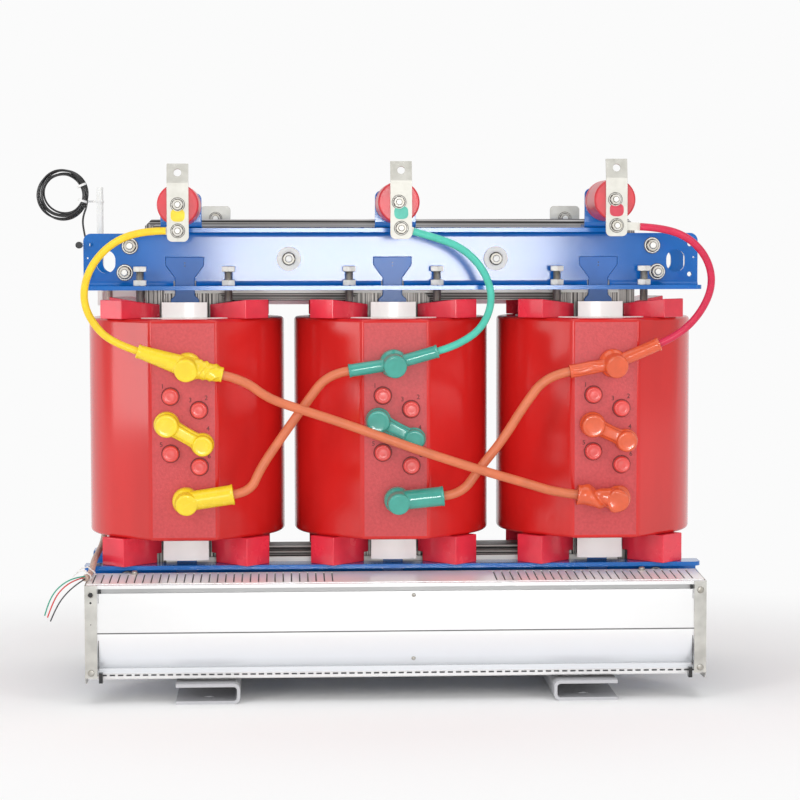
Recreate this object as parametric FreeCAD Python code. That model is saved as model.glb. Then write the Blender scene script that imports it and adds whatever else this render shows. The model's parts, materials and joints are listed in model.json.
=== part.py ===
import FreeCAD, Part
import math
import os

# Three-phase dry transformer with cast-resin coils and cross-flow fans.
# Millimetres. X runs along the row of coils, -Y is the high-voltage front, +Z is up.
# The origin is on the floor, at the middle of the base rails' bolt pattern.

# How near an edge's middle has to be to the place where it is looked for
PICK_MARGIN = 0.1

# Driving dimensions: arrangement
PHASE_PITCH = 400.0
COIL_HEIGHT = 419.0
PAD_HEIGHT = 36.0
COIL_MIDDLE_Z = 507.5

# Driving dimensions: core
LIMB_RADIUS = 85.0
PACKET_WIDTHS = [158.0, 140.0, 115.0, 85.0]
WINDOW_GAP = 241.0
CORE_CORNER_CLIP = 13.0

# Driving dimensions: clamps
CLAMP_THICKNESS = 8.0
CLAMP_HALF_LENGTH = 594.0
CLAMP_FLANGE_REACH = 146.0
CLAMP_WEB_BOTTOM = 771.0
CLAMP_WEB_TOP = 889.0
CLAMP_TOP_FLANGE_HALF = 440.0
CLAMP_FLANGE_DROP = 10.0
TIE_SLOT_GAP = 3.0
STRIP_BELOW_CLAMP = 7.0
STRIP_BEYOND_TIES = 3.0
CLAMP_BEND_RADIUS = 9.0
CLAMP_CORNER_RADIUS = 15.0
INSULATION_THICKNESS = 5.0
LIFT_HOLE_X = 551.0
LIFT_HOLE_WIDTH = 36.0
LIFT_HOLE_HEIGHT = 44.0
FIT_GAP = 0.2
BOLT_GAP = 0.3

# Driving dimensions: tie plates
TIE_WIDTH = 54.0
TIE_NECK_WIDTH = 38.0
TIE_HEAD_WIDTH = 74.0
TIE_HEAD_TOP = 834.0
TIE_HEAD_SHOULDER = 818.0
TIE_NECK_TOP = 793.0
TIE_SHOULDER_Z = 752.0

# Driving dimensions: bolts
BOLT_RADIUS = 8.0
BOLT_HEAD_FLATS = 24.0
BOLT_HEAD_HEIGHT = 10.0
WASHER_RADIUS = 15.0
WASHER_THICKNESS = 3.0
INSULATING_WASHER_RADIUS = 23.0
INSULATING_WASHER_THICKNESS = 5.0
YOKE_BOLT_X = 200.0
YOKE_BOLT_Z = 830.0
END_BOLTS = [(505.0, 855.0), (515.0, 804.0)]
JACK_BOLT_X = 84.3
JACK_BOLT_Y = 118.0
JACK_LOCK_NUT_HEIGHT = 11.0
JACK_HEAD_TOP = 816.0

# Driving dimensions: coils
HV_OUTER_RADIUS = 190.0
HV_BORE_RADIUS = 140.0
PANEL_HALF_WIDTH = 61.6
PANEL_Y = -204.0
BARRIER_RADIUS = 126.5
BARRIER_WALL = 2.5
BARRIER_TONGUE_ANGLE = 20.0
BARRIER_TONGUE_RISE = 30.5
LV_OUTER_RADIUS = 118.0
LV_BORE_RADIUS = 96.0

# Driving dimensions: resin pads
PAD_ANGLE = 44.0
PAD_WIDTH = 60.0
PAD_INNER_RADIUS = 100.0
PAD_OUTER_RADIUS = 200.0
PAD_INNER_DROP = 10.0
PAD_STEP_RADIUS = 150.0
PAD_STEP_RISE = 18.0

# Where each coil fitting sits: offsets from the phase axis and from the coil's middle height
TAP_PLUG_PLACES = [(-24.0, 65.0), (29.5, 39.0), (-24.3, -43.0), (30.0, -68.0)]
TAP_PLUG_RADIUS = 16.3
TAP_PLUG_FACE_RADIUS = 15.0
TAP_PLUG_HEIGHT = 14.0
LINK_PLACES = [((-31.0, 13.0), (36.0, -25.0)), ((-33.0, 19.0), (35.0, -16.0)), ((-27.0, 9.0), (37.0, -21.0))]
LINK_LEFT_RADIUS = 24.0
LINK_RIGHT_RADIUS = 21.5
LINK_HEIGHT = 39.0
LINK_WEB_WIDTH = 24.0
LINK_TAPER = 2.0
LINK_WEB_DROP = 4.0
UPPER_BOOT_PLACES = [(9.0, 121.0), (-4.0, 126.0), (12.0, 125.0)]
UPPER_BOOT_RADIUS = 27.5
UPPER_BOOT_FACE_RADIUS = 22.4
UPPER_BOOT_HEIGHT = 46.0
UPPER_BOOT_TUBE_RADIUS = 12.5
UPPER_BOOT_LEFT_ENDS = [(-84.0, 152.0), (-89.0, 113.0), (-72.0, 110.0)]
UPPER_BOOT_RIGHT_ENDS = [(75.0, 106.0), (79.0, 149.5), (98.0, 162.0)]
LOWER_BOOT_PLACES = [(4.0, -132.0), (3.0, -133.0), (21.0, -132.0)]
LOWER_BOOT_RADIUS = 25.0
LOWER_BOOT_FACE_RADIUS = 21.4
LOWER_BOOT_HEIGHT = 44.0
LOWER_BOOT_TUBE_RADIUS = 19.0
LOWER_BOOT_ENDS = [(94.0, -118.5), (90.0, -124.0), (-57.0, -123.0)]
BOOT_TUBE_Y = -226.0

# Driving dimensions: high-voltage terminals
TERMINAL_SHIFTS = [-4.0, 3.0, 4.0]
TERMINAL_RISES = [42.0, 46.5, 51.0]
TERMINAL_BAR_SHIFTS = [0.0, 4.0, 2.6]
BRACKET_WIDTH = 78.0
BRACKET_THICKNESS = 6.0
BRACKET_FRONT_Y = -150.0
BRACKET_ABOVE_AXIS = 24.0
BRACKET_FOOT_DEPTH = 55.0
BRACKET_CORNER_RADIUS = 12.0
INSULATOR_RADIUS = 38.5
INSULATOR_LENGTH = 140.0
INSULATOR_CHAMFER = 3.0
INSULATOR_GROOVE_DEPTH = 1.5
INSULATOR_GROOVE_WIDTH = 6.0
INSULATOR_GROOVE_START = 20.0
HV_BAR_WIDTH = 40.0
HV_BAR_THICKNESS = 4.0
HV_BAR_BELOW_AXIS = 68.0
HV_BAR_BEND_ABOVE_AXIS = 39.5
HV_BAR_TIP_LENGTH = 36.0
HV_BAR_TILT = 12.0
HV_BAR_CORNER_RADIUS = 10.0
HV_BAR_HOLE_RADIUS = 7.0
HV_BAR_HOLE_FROM_BEND = 19.0
HV_BOLT_RADIUS = 5.0
HV_BOLT_FLATS = 16.0
HV_BOLT_HEAD_HEIGHT = 8.0
HV_WASHER_RADIUS = 13.0
HV_WASHER_THICKNESS = 2.5
LEAD_BOLT_BELOW_AXIS = 48.0
LUG_THICKNESS = 3.0
LUG_HALF_WIDTH = 7.5
LUG_BEYOND_BAR = [2.0, 3.0, 24.0]
LUG_TURNS = [180.0, -15.0, -3.0]

# Driving dimensions: leads, each a route of points from end to end
CORD_ARC_SHARE = 0.45
LINE_LEAD_DIAMETER = 14.0
LINE_LEAD_ROUTES = {
    "a": [(-426.1, -288.5, 883.0), (-474.0, -288.5, 883.0), (-532.0, -280.0, 858.0), (-573.0, -267.0, 808.0),
          (-583.0, -253.0, 749.0), (-556.0, -237.0, 697.0), (-517.7, -226.0, 670.7), (-484.0, -226.0, 659.5)],
    "b": [(29.3, -288.5, 881.5), (69.8, -288.5, 870.7), (122.0, -280.0, 851.0), (163.0, -268.0, 810.0),
          (181.0, -254.0, 757.0), (164.0, -238.0, 702.0), (115.6, -226.0, 667.4), (79.0, -226.0, 657.0)],
    "c": [(450.6, -288.5, 889.7), (498.5, -288.5, 887.2), (550.0, -279.0, 866.0), (584.0, -267.0, 826.0),
          (594.0, -254.0, 778.0), (574.0, -239.0, 727.0), (534.8, -226.0, 685.3), (498.0, -226.0, 669.5)],
}
DELTA_LEAD_DIAMETER = 17.5
DELTA_LEAD_ROUTES = {
    "a": [(-325.0, -226.0, 613.5), (-286.0, -226.0, 604.6), (-240.0, -240.0, 570.0), (-185.0, -250.0, 552.0),
          (-95.0, -259.0, 523.0), (30.0, -262.0, 477.0), (150.0, -257.0, 437.0), (245.0, -240.0, 408.0),
          (301.0, -226.0, 389.3), (343.0, -226.0, 384.5)],
    "b": [(-89.0, -226.0, 620.5), (-129.0, -226.0, 614.4), (-168.0, -223.0, 562.0), (-216.0, -221.0, 495.0),
          (-256.0, -223.0, 437.0), (-274.0, -226.0, 393.7), (-305.9, -226.0, 389.0)],
    "c": [(328.0, -226.0, 617.5), (284.0, -226.0, 609.6), (243.0, -223.0, 555.0), (203.0, -221.0, 490.0),
          (157.0, -223.0, 434.0), (124.0, -226.0, 387.0), (90.0, -226.0, 383.5)],
}

# Driving dimensions: sensor cable and fan cable
SENSOR_COIL_FROM_BAR = 70.0
SENSOR_COIL_Y = 160.0
SENSOR_COIL_Z = 959.0
SENSOR_COIL_OUTER = 53.0
SENSOR_COIL_INNER = 35.0
SENSOR_COIL_DEPTH = 14.0
SENSOR_COIL_SLOPE = 4.0
SENSOR_CABLE_DIAMETER = 4.0
SENSOR_TAIL_BY_BAR = [(-17.7, SENSOR_COIL_Y, 940.0), (-29.0, 158.0, 909.0), (-24.0, 150.0, 880.0)]
SENSOR_TAIL_BY_CLAMP = [(-10.0, 120.0, 861.0), (-7.5, 70.0, 858.0), (-8.5, 20.0, 856.0), (-7.0, -32.0, 857.0),
                        (-7.0, -84.0, 857.0)]
SENSOR_GLAND_RADIUS = 6.5
SENSOR_GLAND_LENGTH = 20.0
SENSOR_TIE_Z = [945.0, 982.0]
SENSOR_TIE_LENGTH = 41.0
SENSOR_TIE_DEPTH = 18.0
SENSOR_TIE_WIDTH = 5.0
FAN_LOOM_DIAMETER = 12.0
LOOM_Y = 142.0
LOOM_BEYOND_PAD = 14.5
LOOM_BY_PAD = [(0.0, LOOM_Y, 771.0), (0.0, LOOM_Y, 690.0), (2.0, 152.0, 570.0), (-2.0, 151.0, 450.0),
               (-4.0, 143.0, 345.0), (-12.0, 95.0, 268.0), (-14.0, 10.0, 257.0), (-13.0, -75.0, 258.0),
               (-14.0, -147.0, 254.5)]
LOOM_BY_FAN = [(6.6, -195.0, 235.2), (-1.4, -232.0, 233.2)]
FAN_WIRE_DIAMETER = 2.5
WIRES_BY_FAN = [
    [(-4.4, -232.0, 234.5), (-22.4, -250.0, 232.0), (-46.4, -256.0, 214.0), (-60.4, -259.0, 190.0),
     (-69.4, -260.0, 164.0)],
    [(-1.9, -233.0, 236.8), (-20.4, -252.0, 238.0), (-48.4, -261.0, 222.0), (-66.4, -264.0, 196.0),
     (-74.4, -262.0, 168.0)],
    [(-1.9, -233.0, 231.8), (-16.4, -256.0, 225.0), (-37.4, -263.0, 206.0), (-52.4, -266.0, 184.0),
     (-63.4, -268.0, 158.0)],
]

# Driving dimensions: low-voltage bars
LV_BAR_X = [-347.0, 8.0, 363.0]
LV_BAR_WIDTH = 60.0
LV_BAR_THICKNESS = 8.0
LV_BAR_TOP = 935.0
LV_RISER_Y = 154.0
LV_LEAD_Z = 755.0
LV_TAB_Y = 100.0
LV_START_SIDES = [1, 1, -1]
LV_START_TAB_NEAR = 8.0
LV_START_TAB_FAR = 38.0
LV_FINISH_NEAR = 24.0
LV_FINISH_FAR = 46.0
LV_SUPPORT_WIDTH = 40.0
LV_PLATE_INSET = 8.0
NEUTRAL_Y = 205.0
NEUTRAL_THICKNESS = 10.0
NEUTRAL_BOTTOM = 735.0
NEUTRAL_TOP = 785.0
NEUTRAL_LEFT = -587.0
NEUTRAL_RISER_TOP = 974.0
NEUTRAL_RISER_WIDTH = 50.0
NEUTRAL_HOLE_Z = 923.0
TERMINAL_HOLE_RADIUS = 7.0
TERMINAL_HOLE_DROP = 25.0

# Driving dimensions: fans
FAN_HALF_LENGTH = 583.6
FAN_FRONT_Y = -269.5
FAN_BACK_Y = -150.0
FAN_FRONT_TOP = 224.0
FAN_BACK_TOP = 231.0
FAN_PLATE_THICKNESS = 2.0
FAN_PLATE_FLANGE = 23.0
FAN_SHEET = 1.5
FAN_PLATE_CLIP = 12.0
FAN_LIP_RETURN = 14.0
FAN_GROOVE_TOP = 217.0
FAN_GROOVE_BOTTOM = 209.0
FAN_GROOVE_DEPTH = 5.0
FAN_SEAM_LEAN = 1.2
FAN_CURVE_STEPS = 5
FAN_CURVE_DEPTH = 20.0
FAN_LEDGE_DEPTH = 6.0
FAN_LEDGE_TOP = 66.0
FAN_LEDGE_BOTTOM = 56.0
FAN_COVER_BOTTOM = 45.0
FAN_SCROLL_CORNER = 22.0
FAN_FOOT_Y = -215.0
FAN_BOSS_LENGTH = 8.0
FAN_BOSS_RADIUS = 14.0
FAN_SADDLE_HALF_LENGTH = 40.0
FAN_SADDLE_HALF_HEIGHT = 20.0
FAN_SEAM_Z = 135.0
FAN_AXIS_Y = -209.0
FAN_AXIS_Z = 135.0
FAN_MOTOR_RADIUS = 48.0
FAN_MOTOR_HALF_LENGTH = 55.0
FAN_SHAFT_RADIUS = 5.0
FAN_BEARING_GAP = 0.05
IMPELLER_RADIUS = 50.0
IMPELLER_START = 62.0
IMPELLER_END_GAP = 35.6
IMPELLER_BLADES = 20
IMPELLER_BLADE_DEPTH = 12.0
IMPELLER_BLADE_THICKNESS = 1.2
IMPELLER_BLADE_BEND = 3.5
IMPELLER_RIM = 1.0
IMPELLER_DISC_THICKNESS = 2.0
GRILLE_START = 75.0
GRILLE_CELLS = 8
GRILLE_END_GAP = 28.6
GRILLE_BAR = 8.0
GRILLE_EDGE = 12.0

# Driving dimensions: base
RAIL_X = 355.0
RAIL_WIDTH = 120.0
RAIL_HEIGHT = 38.0
RAIL_THICKNESS = 6.0
RAIL_HALF_LENGTH = 275.0
FLOOR_HOLE_RADIUS = 9.0
FLOOR_HOLE_Y = 230.0
PEDESTAL_LENGTH = 70.0
PEDESTAL_THICKNESS = 6.0
PEDESTAL_FRONT_Y = 142.0
PEDESTAL_BACK_Y = 92.0

# Worked out from the above
PHASES = [-PHASE_PITCH, 0.0, PHASE_PITCH]
PHASE_NAMES = ["a", "b", "c"]
COIL_TOP = COIL_MIDDLE_Z + COIL_HEIGHT / 2
COIL_BOTTOM = COIL_MIDDLE_Z - COIL_HEIGHT / 2
PACKET_DEPTHS = [math.sqrt(LIMB_RADIUS ** 2 - (w / 2) ** 2) for w in PACKET_WIDTHS]
CORE_HALF_DEPTH = PACKET_DEPTHS[-1]
WEB_INNER_Y = CORE_HALF_DEPTH + INSULATION_THICKNESS
WEB_OUTER_Y = WEB_INNER_Y + CLAMP_THICKNESS
YOKE_MIDDLE_RISE = WINDOW_GAP + PACKET_WIDTHS[0] / 2
PAD_TOP = COIL_TOP + PAD_HEIGHT
STRIP_HALF_LENGTH = PHASE_PITCH + TIE_HEAD_WIDTH / 2 + STRIP_BEYOND_TIES
TERMINAL_PLACES = [(x + shift, CLAMP_WEB_TOP + rise)
                   for x, shift, rise in zip(PHASES, TERMINAL_SHIFTS, TERMINAL_RISES)]
SENSOR_COIL_MIDDLE = (NEUTRAL_LEFT - SENSOR_COIL_FROM_BAR, SENSOR_COIL_Y, SENSOR_COIL_Z)
SENSOR_TAIL_ROUTE = ([(NEUTRAL_LEFT + x, y, z) for x, y, z in SENSOR_TAIL_BY_BAR]
                     + [(x - CLAMP_HALF_LENGTH, y, z) for x, y, z in SENSOR_TAIL_BY_CLAMP])
PAD_TURN = math.radians(PAD_ANGLE)
LOOM_X = (LOOM_Y * math.sin(PAD_TURN) - PAD_OUTER_RADIUS - LOOM_BEYOND_PAD) / math.cos(PAD_TURN) - PHASE_PITCH
FAN_LOOM_ROUTE = ([(LOOM_X + x, y, z) for x, y, z in LOOM_BY_PAD]
                  + [(x - FAN_HALF_LENGTH, y, z) for x, y, z in LOOM_BY_FAN])
FAN_WIRE_ROUTES = [[(x - FAN_HALF_LENGTH, y, z) for x, y, z in route] for route in WIRES_BY_FAN]
IMPELLER_END = FAN_HALF_LENGTH - IMPELLER_END_GAP
GRILLE_PITCH = (FAN_HALF_LENGTH - GRILLE_START - GRILLE_END_GAP) / GRILLE_CELLS
GRILLE_CELL_LENGTH = GRILLE_PITCH - GRILLE_BAR


def mirrored_z(z):
    """The height that a thing on the upper clamp has on the lower one."""
    return 2 * COIL_MIDDLE_Z - z


def vec(x, y, z):
    return FreeCAD.Vector(x, y, z)


def box(x0, x1, y0, y1, z0, z1):
    return Part.makeBox(x1 - x0, y1 - y0, z1 - z0, vec(x0, y0, z0))


def rod(radius, start, end):
    """A cylinder from one point to another."""
    run = end - start
    return Part.makeCylinder(radius, run.Length, start, run)


def cone(radius_start, radius_end, start, end):
    run = end - start
    return Part.makeCone(radius_start, radius_end, run.Length, start, run)


def prism(points, push):
    """A closed polygon of 3D points pushed along a vector."""
    return Part.Face(Part.makePolygon(points + points[:1])).extrude(push)


def prism_xz(points, y0, y1):
    return prism([vec(x, y0, z) for x, z in points], vec(0, y1 - y0, 0))


def prism_yz(points, x0, x1):
    return prism([vec(x0, y, z) for y, z in points], vec(x1 - x0, 0, 0))


def prism_xy(points, z0, z1):
    return prism([vec(x, y, z0) for x, y in points], vec(0, 0, z1 - z0))


def hex_prism(flats, start, end):
    """A hexagonal head or nut from one point to another, along Y or Z."""
    run = end - start
    corner = flats / math.sqrt(3)
    points = []
    for i in range(6):
        turn = math.radians(60 * i)
        across, along = corner * math.cos(turn), corner * math.sin(turn)
        points.append(start + (vec(across, 0, along) if abs(run.y) > abs(run.z) else vec(across, along, 0)))
    return prism(points, run)


def rounded(shape, radius, picks):
    """Fillets the straight edges that a test picks by direction and middle."""
    edges = [e for e in shape.Edges if len(e.Vertexes) == 2 and picks(e)]
    return shape.makeFillet(radius, edges)


def is_near(value, target):
    return abs(value - target) < PICK_MARGIN


def is_along(edge, axis):
    run = edge.Vertexes[1].Point - edge.Vertexes[0].Point
    return run.Length > 0 and abs(abs(run.normalize().dot(axis)) - 1) < 1e-6


def turned_front_to_back(shape):
    return shape.mirror(vec(0, 0, 0), vec(0, 1, 0))


def turned_upside_down(shape):
    return shape.mirror(vec(0, 0, COIL_MIDDLE_Z), vec(0, 0, 1))


def moved(shape, x, y, z):
    copy = shape.copy()
    copy.translate(vec(x, y, z))
    return copy


def fused(shapes):
    whole = shapes[0].multiFuse(shapes[1:]) if len(shapes) > 1 else shapes[0]
    return whole.removeSplitter()


def cut_by(shape, tools):
    return shape.cut(Part.makeCompound(tools))


def export(node, solids):
    shape = solids[0] if len(solids) == 1 else Part.makeCompound(solids)
    shape.exportStep("parts/" + node + ".step")


def folded_sheet(path, thickness, bend, push):
    """A sheet folded along a path of 3D points and pushed along a vector.

    The path is one face of the sheet. The other lies to its left, seen against the push,
    or to its right where the thickness is negative. Every fold has the same inside radius.
    """
    normal = FreeCAD.Vector(push).normalize()
    runs = [(b - a).normalize() for a, b in zip(path, path[1:])]
    sides = [normal.cross(run) for run in runs]
    across = [path[0] + sides[0] * thickness]
    for i in range(1, len(path) - 1):
        before, after = sides[i - 1], sides[i]
        across.append(path[i] + (before + after) * (thickness / (1 + before.dot(after))))
    across.append(path[-1] + sides[-1] * thickness)
    solid = prism(path + across[::-1], push)
    for i in range(1, len(path) - 1):
        turns_left = runs[i - 1].cross(runs[i]).dot(normal) > 0
        outside = bend + abs(thickness)
        radii = (outside, bend) if turns_left == (thickness > 0) else (bend, outside)
        for corner, radius in zip((path[i], across[i]), radii):
            middle = corner + push * 0.5
            edges = [e for e in solid.Edges
                     if is_along(e, normal) and is_near((e.CenterOfMass - middle).Length, 0)]
            solid = solid.makeFillet(radius, edges)
    return solid


def stepped(outline_of_width):
    """A stack of core packets: each width has its own outline, and the narrow ones reach deepest."""
    packets = []
    for width, depth in zip(PACKET_WIDTHS, PACKET_DEPTHS):
        packets.append(prism_xz(outline_of_width(width), -depth, depth))
    return fused(packets)


def outer_limb_outline(width):
    """The left limb, mitred at both ends, with its outer corners clipped."""
    half, clip = width / 2, CORE_CORNER_CLIP
    left, right = -PHASE_PITCH - half, -PHASE_PITCH + half
    rise = YOKE_MIDDLE_RISE
    upper = [(right, COIL_MIDDLE_Z + rise - half), (left + clip / 2, COIL_MIDDLE_Z + rise + half - clip / 2),
             (left, COIL_MIDDLE_Z + rise + half - clip)]
    return upper + [(x, mirrored_z(z)) for x, z in upper[::-1]]


def middle_limb_outline(width):
    """The middle limb, pointed at both ends to fit the notches of the yokes."""
    half = width / 2
    upper = [(half, COIL_MIDDLE_Z + YOKE_MIDDLE_RISE - half), (0.0, COIL_MIDDLE_Z + YOKE_MIDDLE_RISE),
             (-half, COIL_MIDDLE_Z + YOKE_MIDDLE_RISE - half)]
    return upper + [(x, mirrored_z(z)) for x, z in upper[::-1]]


def upper_yoke_outline(width):
    """The upper yoke, mitred to the outer limbs and notched for the middle one."""
    half, clip = width / 2, CORE_CORNER_CLIP
    low, high = COIL_MIDDLE_Z + YOKE_MIDDLE_RISE - half, COIL_MIDDLE_Z + YOKE_MIDDLE_RISE + half
    end = PHASE_PITCH + half
    right = [(half, low), (PHASE_PITCH - half, low), (end - clip / 2, high - clip / 2), (end - clip, high)]
    return [(0.0, COIL_MIDDLE_Z + YOKE_MIDDLE_RISE)] + right + [(-x, z) for x, z in right[::-1]]


def yoke_bolt_holes():
    reach = 2 * WEB_OUTER_Y
    return [rod(BOLT_RADIUS + BOLT_GAP, vec(x, -reach, YOKE_BOLT_Z), vec(x, reach, YOKE_BOLT_Z))
            for x in (-YOKE_BOLT_X, YOKE_BOLT_X)]


def end_bolt_holes():
    reach = 2 * WEB_OUTER_Y
    return [rod(BOLT_RADIUS + BOLT_GAP, vec(side * x, -reach, z), vec(side * x, reach, z))
            for x, z in END_BOLTS for side in (-1, 1)]


def make_core():
    left = stepped(outer_limb_outline)
    export("core_limb_a", [left])
    export("core_limb_b", [stepped(middle_limb_outline)])
    export("core_limb_c", [left.mirror(vec(0, 0, 0), vec(1, 0, 0))])
    yoke = cut_by(stepped(upper_yoke_outline), yoke_bolt_holes())
    export("core_yoke_upper", [yoke])
    export("core_yoke_lower", [turned_upside_down(yoke)])


def tie_outline(gap):
    """Upper half of a tie plate: body, neck and dovetail head, widened by a gap all round."""
    right = [(TIE_WIDTH / 2 + gap, COIL_MIDDLE_Z), (TIE_WIDTH / 2 + gap, TIE_SHOULDER_Z),
             (TIE_NECK_WIDTH / 2 + gap, TIE_SHOULDER_Z + (TIE_WIDTH - TIE_NECK_WIDTH) / 2),
             (TIE_NECK_WIDTH / 2 + gap, TIE_NECK_TOP - gap),
             (TIE_HEAD_WIDTH / 2 + gap, TIE_HEAD_SHOULDER - gap),
             (TIE_HEAD_WIDTH / 2 + gap, TIE_HEAD_TOP + gap)]
    return right + [(-x, z) for x, z in right[::-1]]


def make_tie_plates():
    half = tie_outline(0.0)
    upper = half[1:-1]
    outline = upper + [(x, mirrored_z(z)) for x, z in upper[::-1]]
    front = prism_xz(outline, -WEB_OUTER_Y, -WEB_INNER_Y)
    plates = [moved(front, x, 0, 0) for x in PHASES]
    export("tie_plates", plates + [turned_front_to_back(p) for p in plates])


def lift_hole(x):
    """An upright oval hole through the clamp's web."""
    z = (CLAMP_WEB_BOTTOM + CLAMP_WEB_TOP - CLAMP_FLANGE_DROP) / 2
    radius = LIFT_HOLE_WIDTH / 2
    half_flat = (LIFT_HOLE_HEIGHT - LIFT_HOLE_WIDTH) / 2
    reach = 2 * WEB_OUTER_Y
    ends = [rod(radius, vec(x, -reach, z + shift), vec(x, 0, z + shift)) for shift in (-half_flat, half_flat)]
    return fused(ends + [box(x - radius, x + radius, -reach, 0, z - half_flat, z + half_flat)])


def front_clamp(with_jack_holes):
    """The upper front clamp: a channel folded forward, its top flange shorter than its bottom one."""
    flange = -CLAMP_FLANGE_REACH
    push = vec(2 * CLAMP_HALF_LENGTH, 0, 0)
    left = -CLAMP_HALF_LENGTH
    low = folded_sheet(
        [vec(left, -WEB_INNER_Y, CLAMP_WEB_TOP - CLAMP_FLANGE_DROP), vec(left, -WEB_INNER_Y, CLAMP_WEB_BOTTOM),
         vec(left, flange, CLAMP_WEB_BOTTOM)],
        -CLAMP_THICKNESS, CLAMP_BEND_RADIUS, push)
    left = -CLAMP_TOP_FLANGE_HALF
    high = folded_sheet(
        [vec(left, flange, CLAMP_WEB_TOP), vec(left, -WEB_INNER_Y, CLAMP_WEB_TOP),
         vec(left, -WEB_INNER_Y, COIL_MIDDLE_Z + YOKE_MIDDLE_RISE)],
        -CLAMP_THICKNESS, CLAMP_BEND_RADIUS, vec(2 * CLAMP_TOP_FLANGE_HALF, 0, 0))
    sheet = fused([low, high])
    end_top = CLAMP_WEB_TOP - CLAMP_FLANGE_DROP
    sheet = rounded(sheet, CLAMP_CORNER_RADIUS, lambda e: is_along(e, vec(0, 1, 0))
                    and is_near(abs(e.CenterOfMass.x), CLAMP_HALF_LENGTH)
                    and is_near(e.CenterOfMass.z, end_top))
    sheet = rounded(sheet, CLAMP_CORNER_RADIUS, lambda e: is_along(e, vec(0, 0, 1))
                    and is_near(abs(e.CenterOfMass.x), CLAMP_HALF_LENGTH)
                    and is_near(e.CenterOfMass.y, flange))
    tools = yoke_bolt_holes() + end_bolt_holes() + [lift_hole(side * LIFT_HOLE_X) for side in (-1, 1)]
    slot = TIE_NECK_WIDTH / 2 + TIE_SLOT_GAP
    for x in PHASES:
        socket = prism_xz(tie_outline(FIT_GAP), -WEB_OUTER_Y - CLAMP_THICKNESS, 0)
        tools.append(moved(socket, x, 0, 0))
        tools.append(box(x - slot, x + slot, -WEB_OUTER_Y - CLAMP_BEND_RADIUS, 0,
                         COIL_MIDDLE_Z, CLAMP_WEB_BOTTOM + CLAMP_THICKNESS + CLAMP_BEND_RADIUS))
        if with_jack_holes:
            for side in (-1, 1):
                foot = vec(x + side * JACK_BOLT_X, -JACK_BOLT_Y, CLAMP_WEB_BOTTOM)
                tools.append(rod(BOLT_RADIUS + BOLT_GAP, foot, foot + vec(0, 0, CLAMP_THICKNESS)))
    return cut_by(sheet, tools)


def make_clamps():
    upper = front_clamp(True)
    lower = turned_upside_down(front_clamp(False))
    export("upper_clamp_front", [upper])
    export("upper_clamp_rear", [turned_front_to_back(upper)])
    export("lower_clamp_front", [lower])
    export("lower_clamp_rear", [turned_front_to_back(lower)])


def make_insulation_strips():
    """Insulating strips between each clamp's web and the yoke, bored for the yoke bolts."""
    low, high = CLAMP_WEB_BOTTOM - STRIP_BELOW_CLAMP, CLAMP_WEB_TOP - CLAMP_FLANGE_DROP - CLAMP_THICKNESS
    half = STRIP_HALF_LENGTH
    strip = cut_by(box(-half, half, -WEB_INNER_Y, -CORE_HALF_DEPTH, low, high), yoke_bolt_holes())
    lower = turned_upside_down(strip)
    export("yoke_insulation", [strip, turned_front_to_back(strip), lower, turned_front_to_back(lower)])


def clamp_bolt(x, z, seat):
    """A bolt through both clamps: washers on the seats, a head in front and a nut behind."""
    parts = [rod(BOLT_RADIUS, vec(x, -seat, z), vec(x, seat, z))]
    for side in (-1, 1):
        face = vec(x, side * seat, z)
        outward = vec(0, side, 0)
        parts.append(rod(WASHER_RADIUS, face, face + outward * WASHER_THICKNESS))
        parts.append(hex_prism(BOLT_HEAD_FLATS, face + outward * WASHER_THICKNESS,
                               face + outward * (WASHER_THICKNESS + BOLT_HEAD_HEIGHT)))
    return fused(parts)


def make_frame_bolts():
    upper = [clamp_bolt(side * x, z, WEB_OUTER_Y) for x, z in END_BOLTS for side in (-1, 1)]
    seat = WEB_OUTER_Y + INSULATING_WASHER_THICKNESS
    upper += [clamp_bolt(x, YOKE_BOLT_Z, seat) for x in (-YOKE_BOLT_X, YOKE_BOLT_X)]
    export("frame_bolts", upper + [turned_upside_down(bolt) for bolt in upper])
    washers = []
    for x in (-YOKE_BOLT_X, YOKE_BOLT_X):
        foot, top = vec(x, -seat, YOKE_BOLT_Z), vec(x, -WEB_OUTER_Y, YOKE_BOLT_Z)
        washer = rod(INSULATING_WASHER_RADIUS, foot, top).cut(rod(BOLT_RADIUS + BOLT_GAP, foot, top))
        lower = turned_upside_down(washer)
        washers += [washer, turned_front_to_back(washer), lower, turned_front_to_back(lower)]
    export("insulating_washers", washers)


def pad_top(radius):
    """Height of an upper pad's sloping top at a distance from the phase axis."""
    share = (PAD_OUTER_RADIUS - radius) / (PAD_OUTER_RADIUS - PAD_INNER_RADIUS)
    return PAD_TOP - PAD_INNER_DROP * share


def make_jack_bolts():
    """Bolts through the upper clamps' flanges that press each coil's pads down, with lock nuts."""
    tip = pad_top(math.hypot(JACK_BOLT_X, JACK_BOLT_Y) + BOLT_RADIUS) + FIT_GAP
    flange_top = CLAMP_WEB_BOTTOM + CLAMP_THICKNESS
    bolts = []
    for x in PHASES:
        for side in (-1, 1):
            for depth in (-JACK_BOLT_Y, JACK_BOLT_Y):
                place = vec(x + side * JACK_BOLT_X, depth, 0)
                up = [place + vec(0, 0, z) for z in
                      (tip, flange_top, flange_top + JACK_LOCK_NUT_HEIGHT, JACK_HEAD_TOP - BOLT_HEAD_HEIGHT,
                       JACK_HEAD_TOP)]
                bolts.append(fused([rod(BOLT_RADIUS, up[0], up[3]), hex_prism(BOLT_HEAD_FLATS, up[1], up[2]),
                                    hex_prism(BOLT_HEAD_FLATS, up[3], up[4])]))
    export("coil_jack_bolts", bolts)


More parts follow.
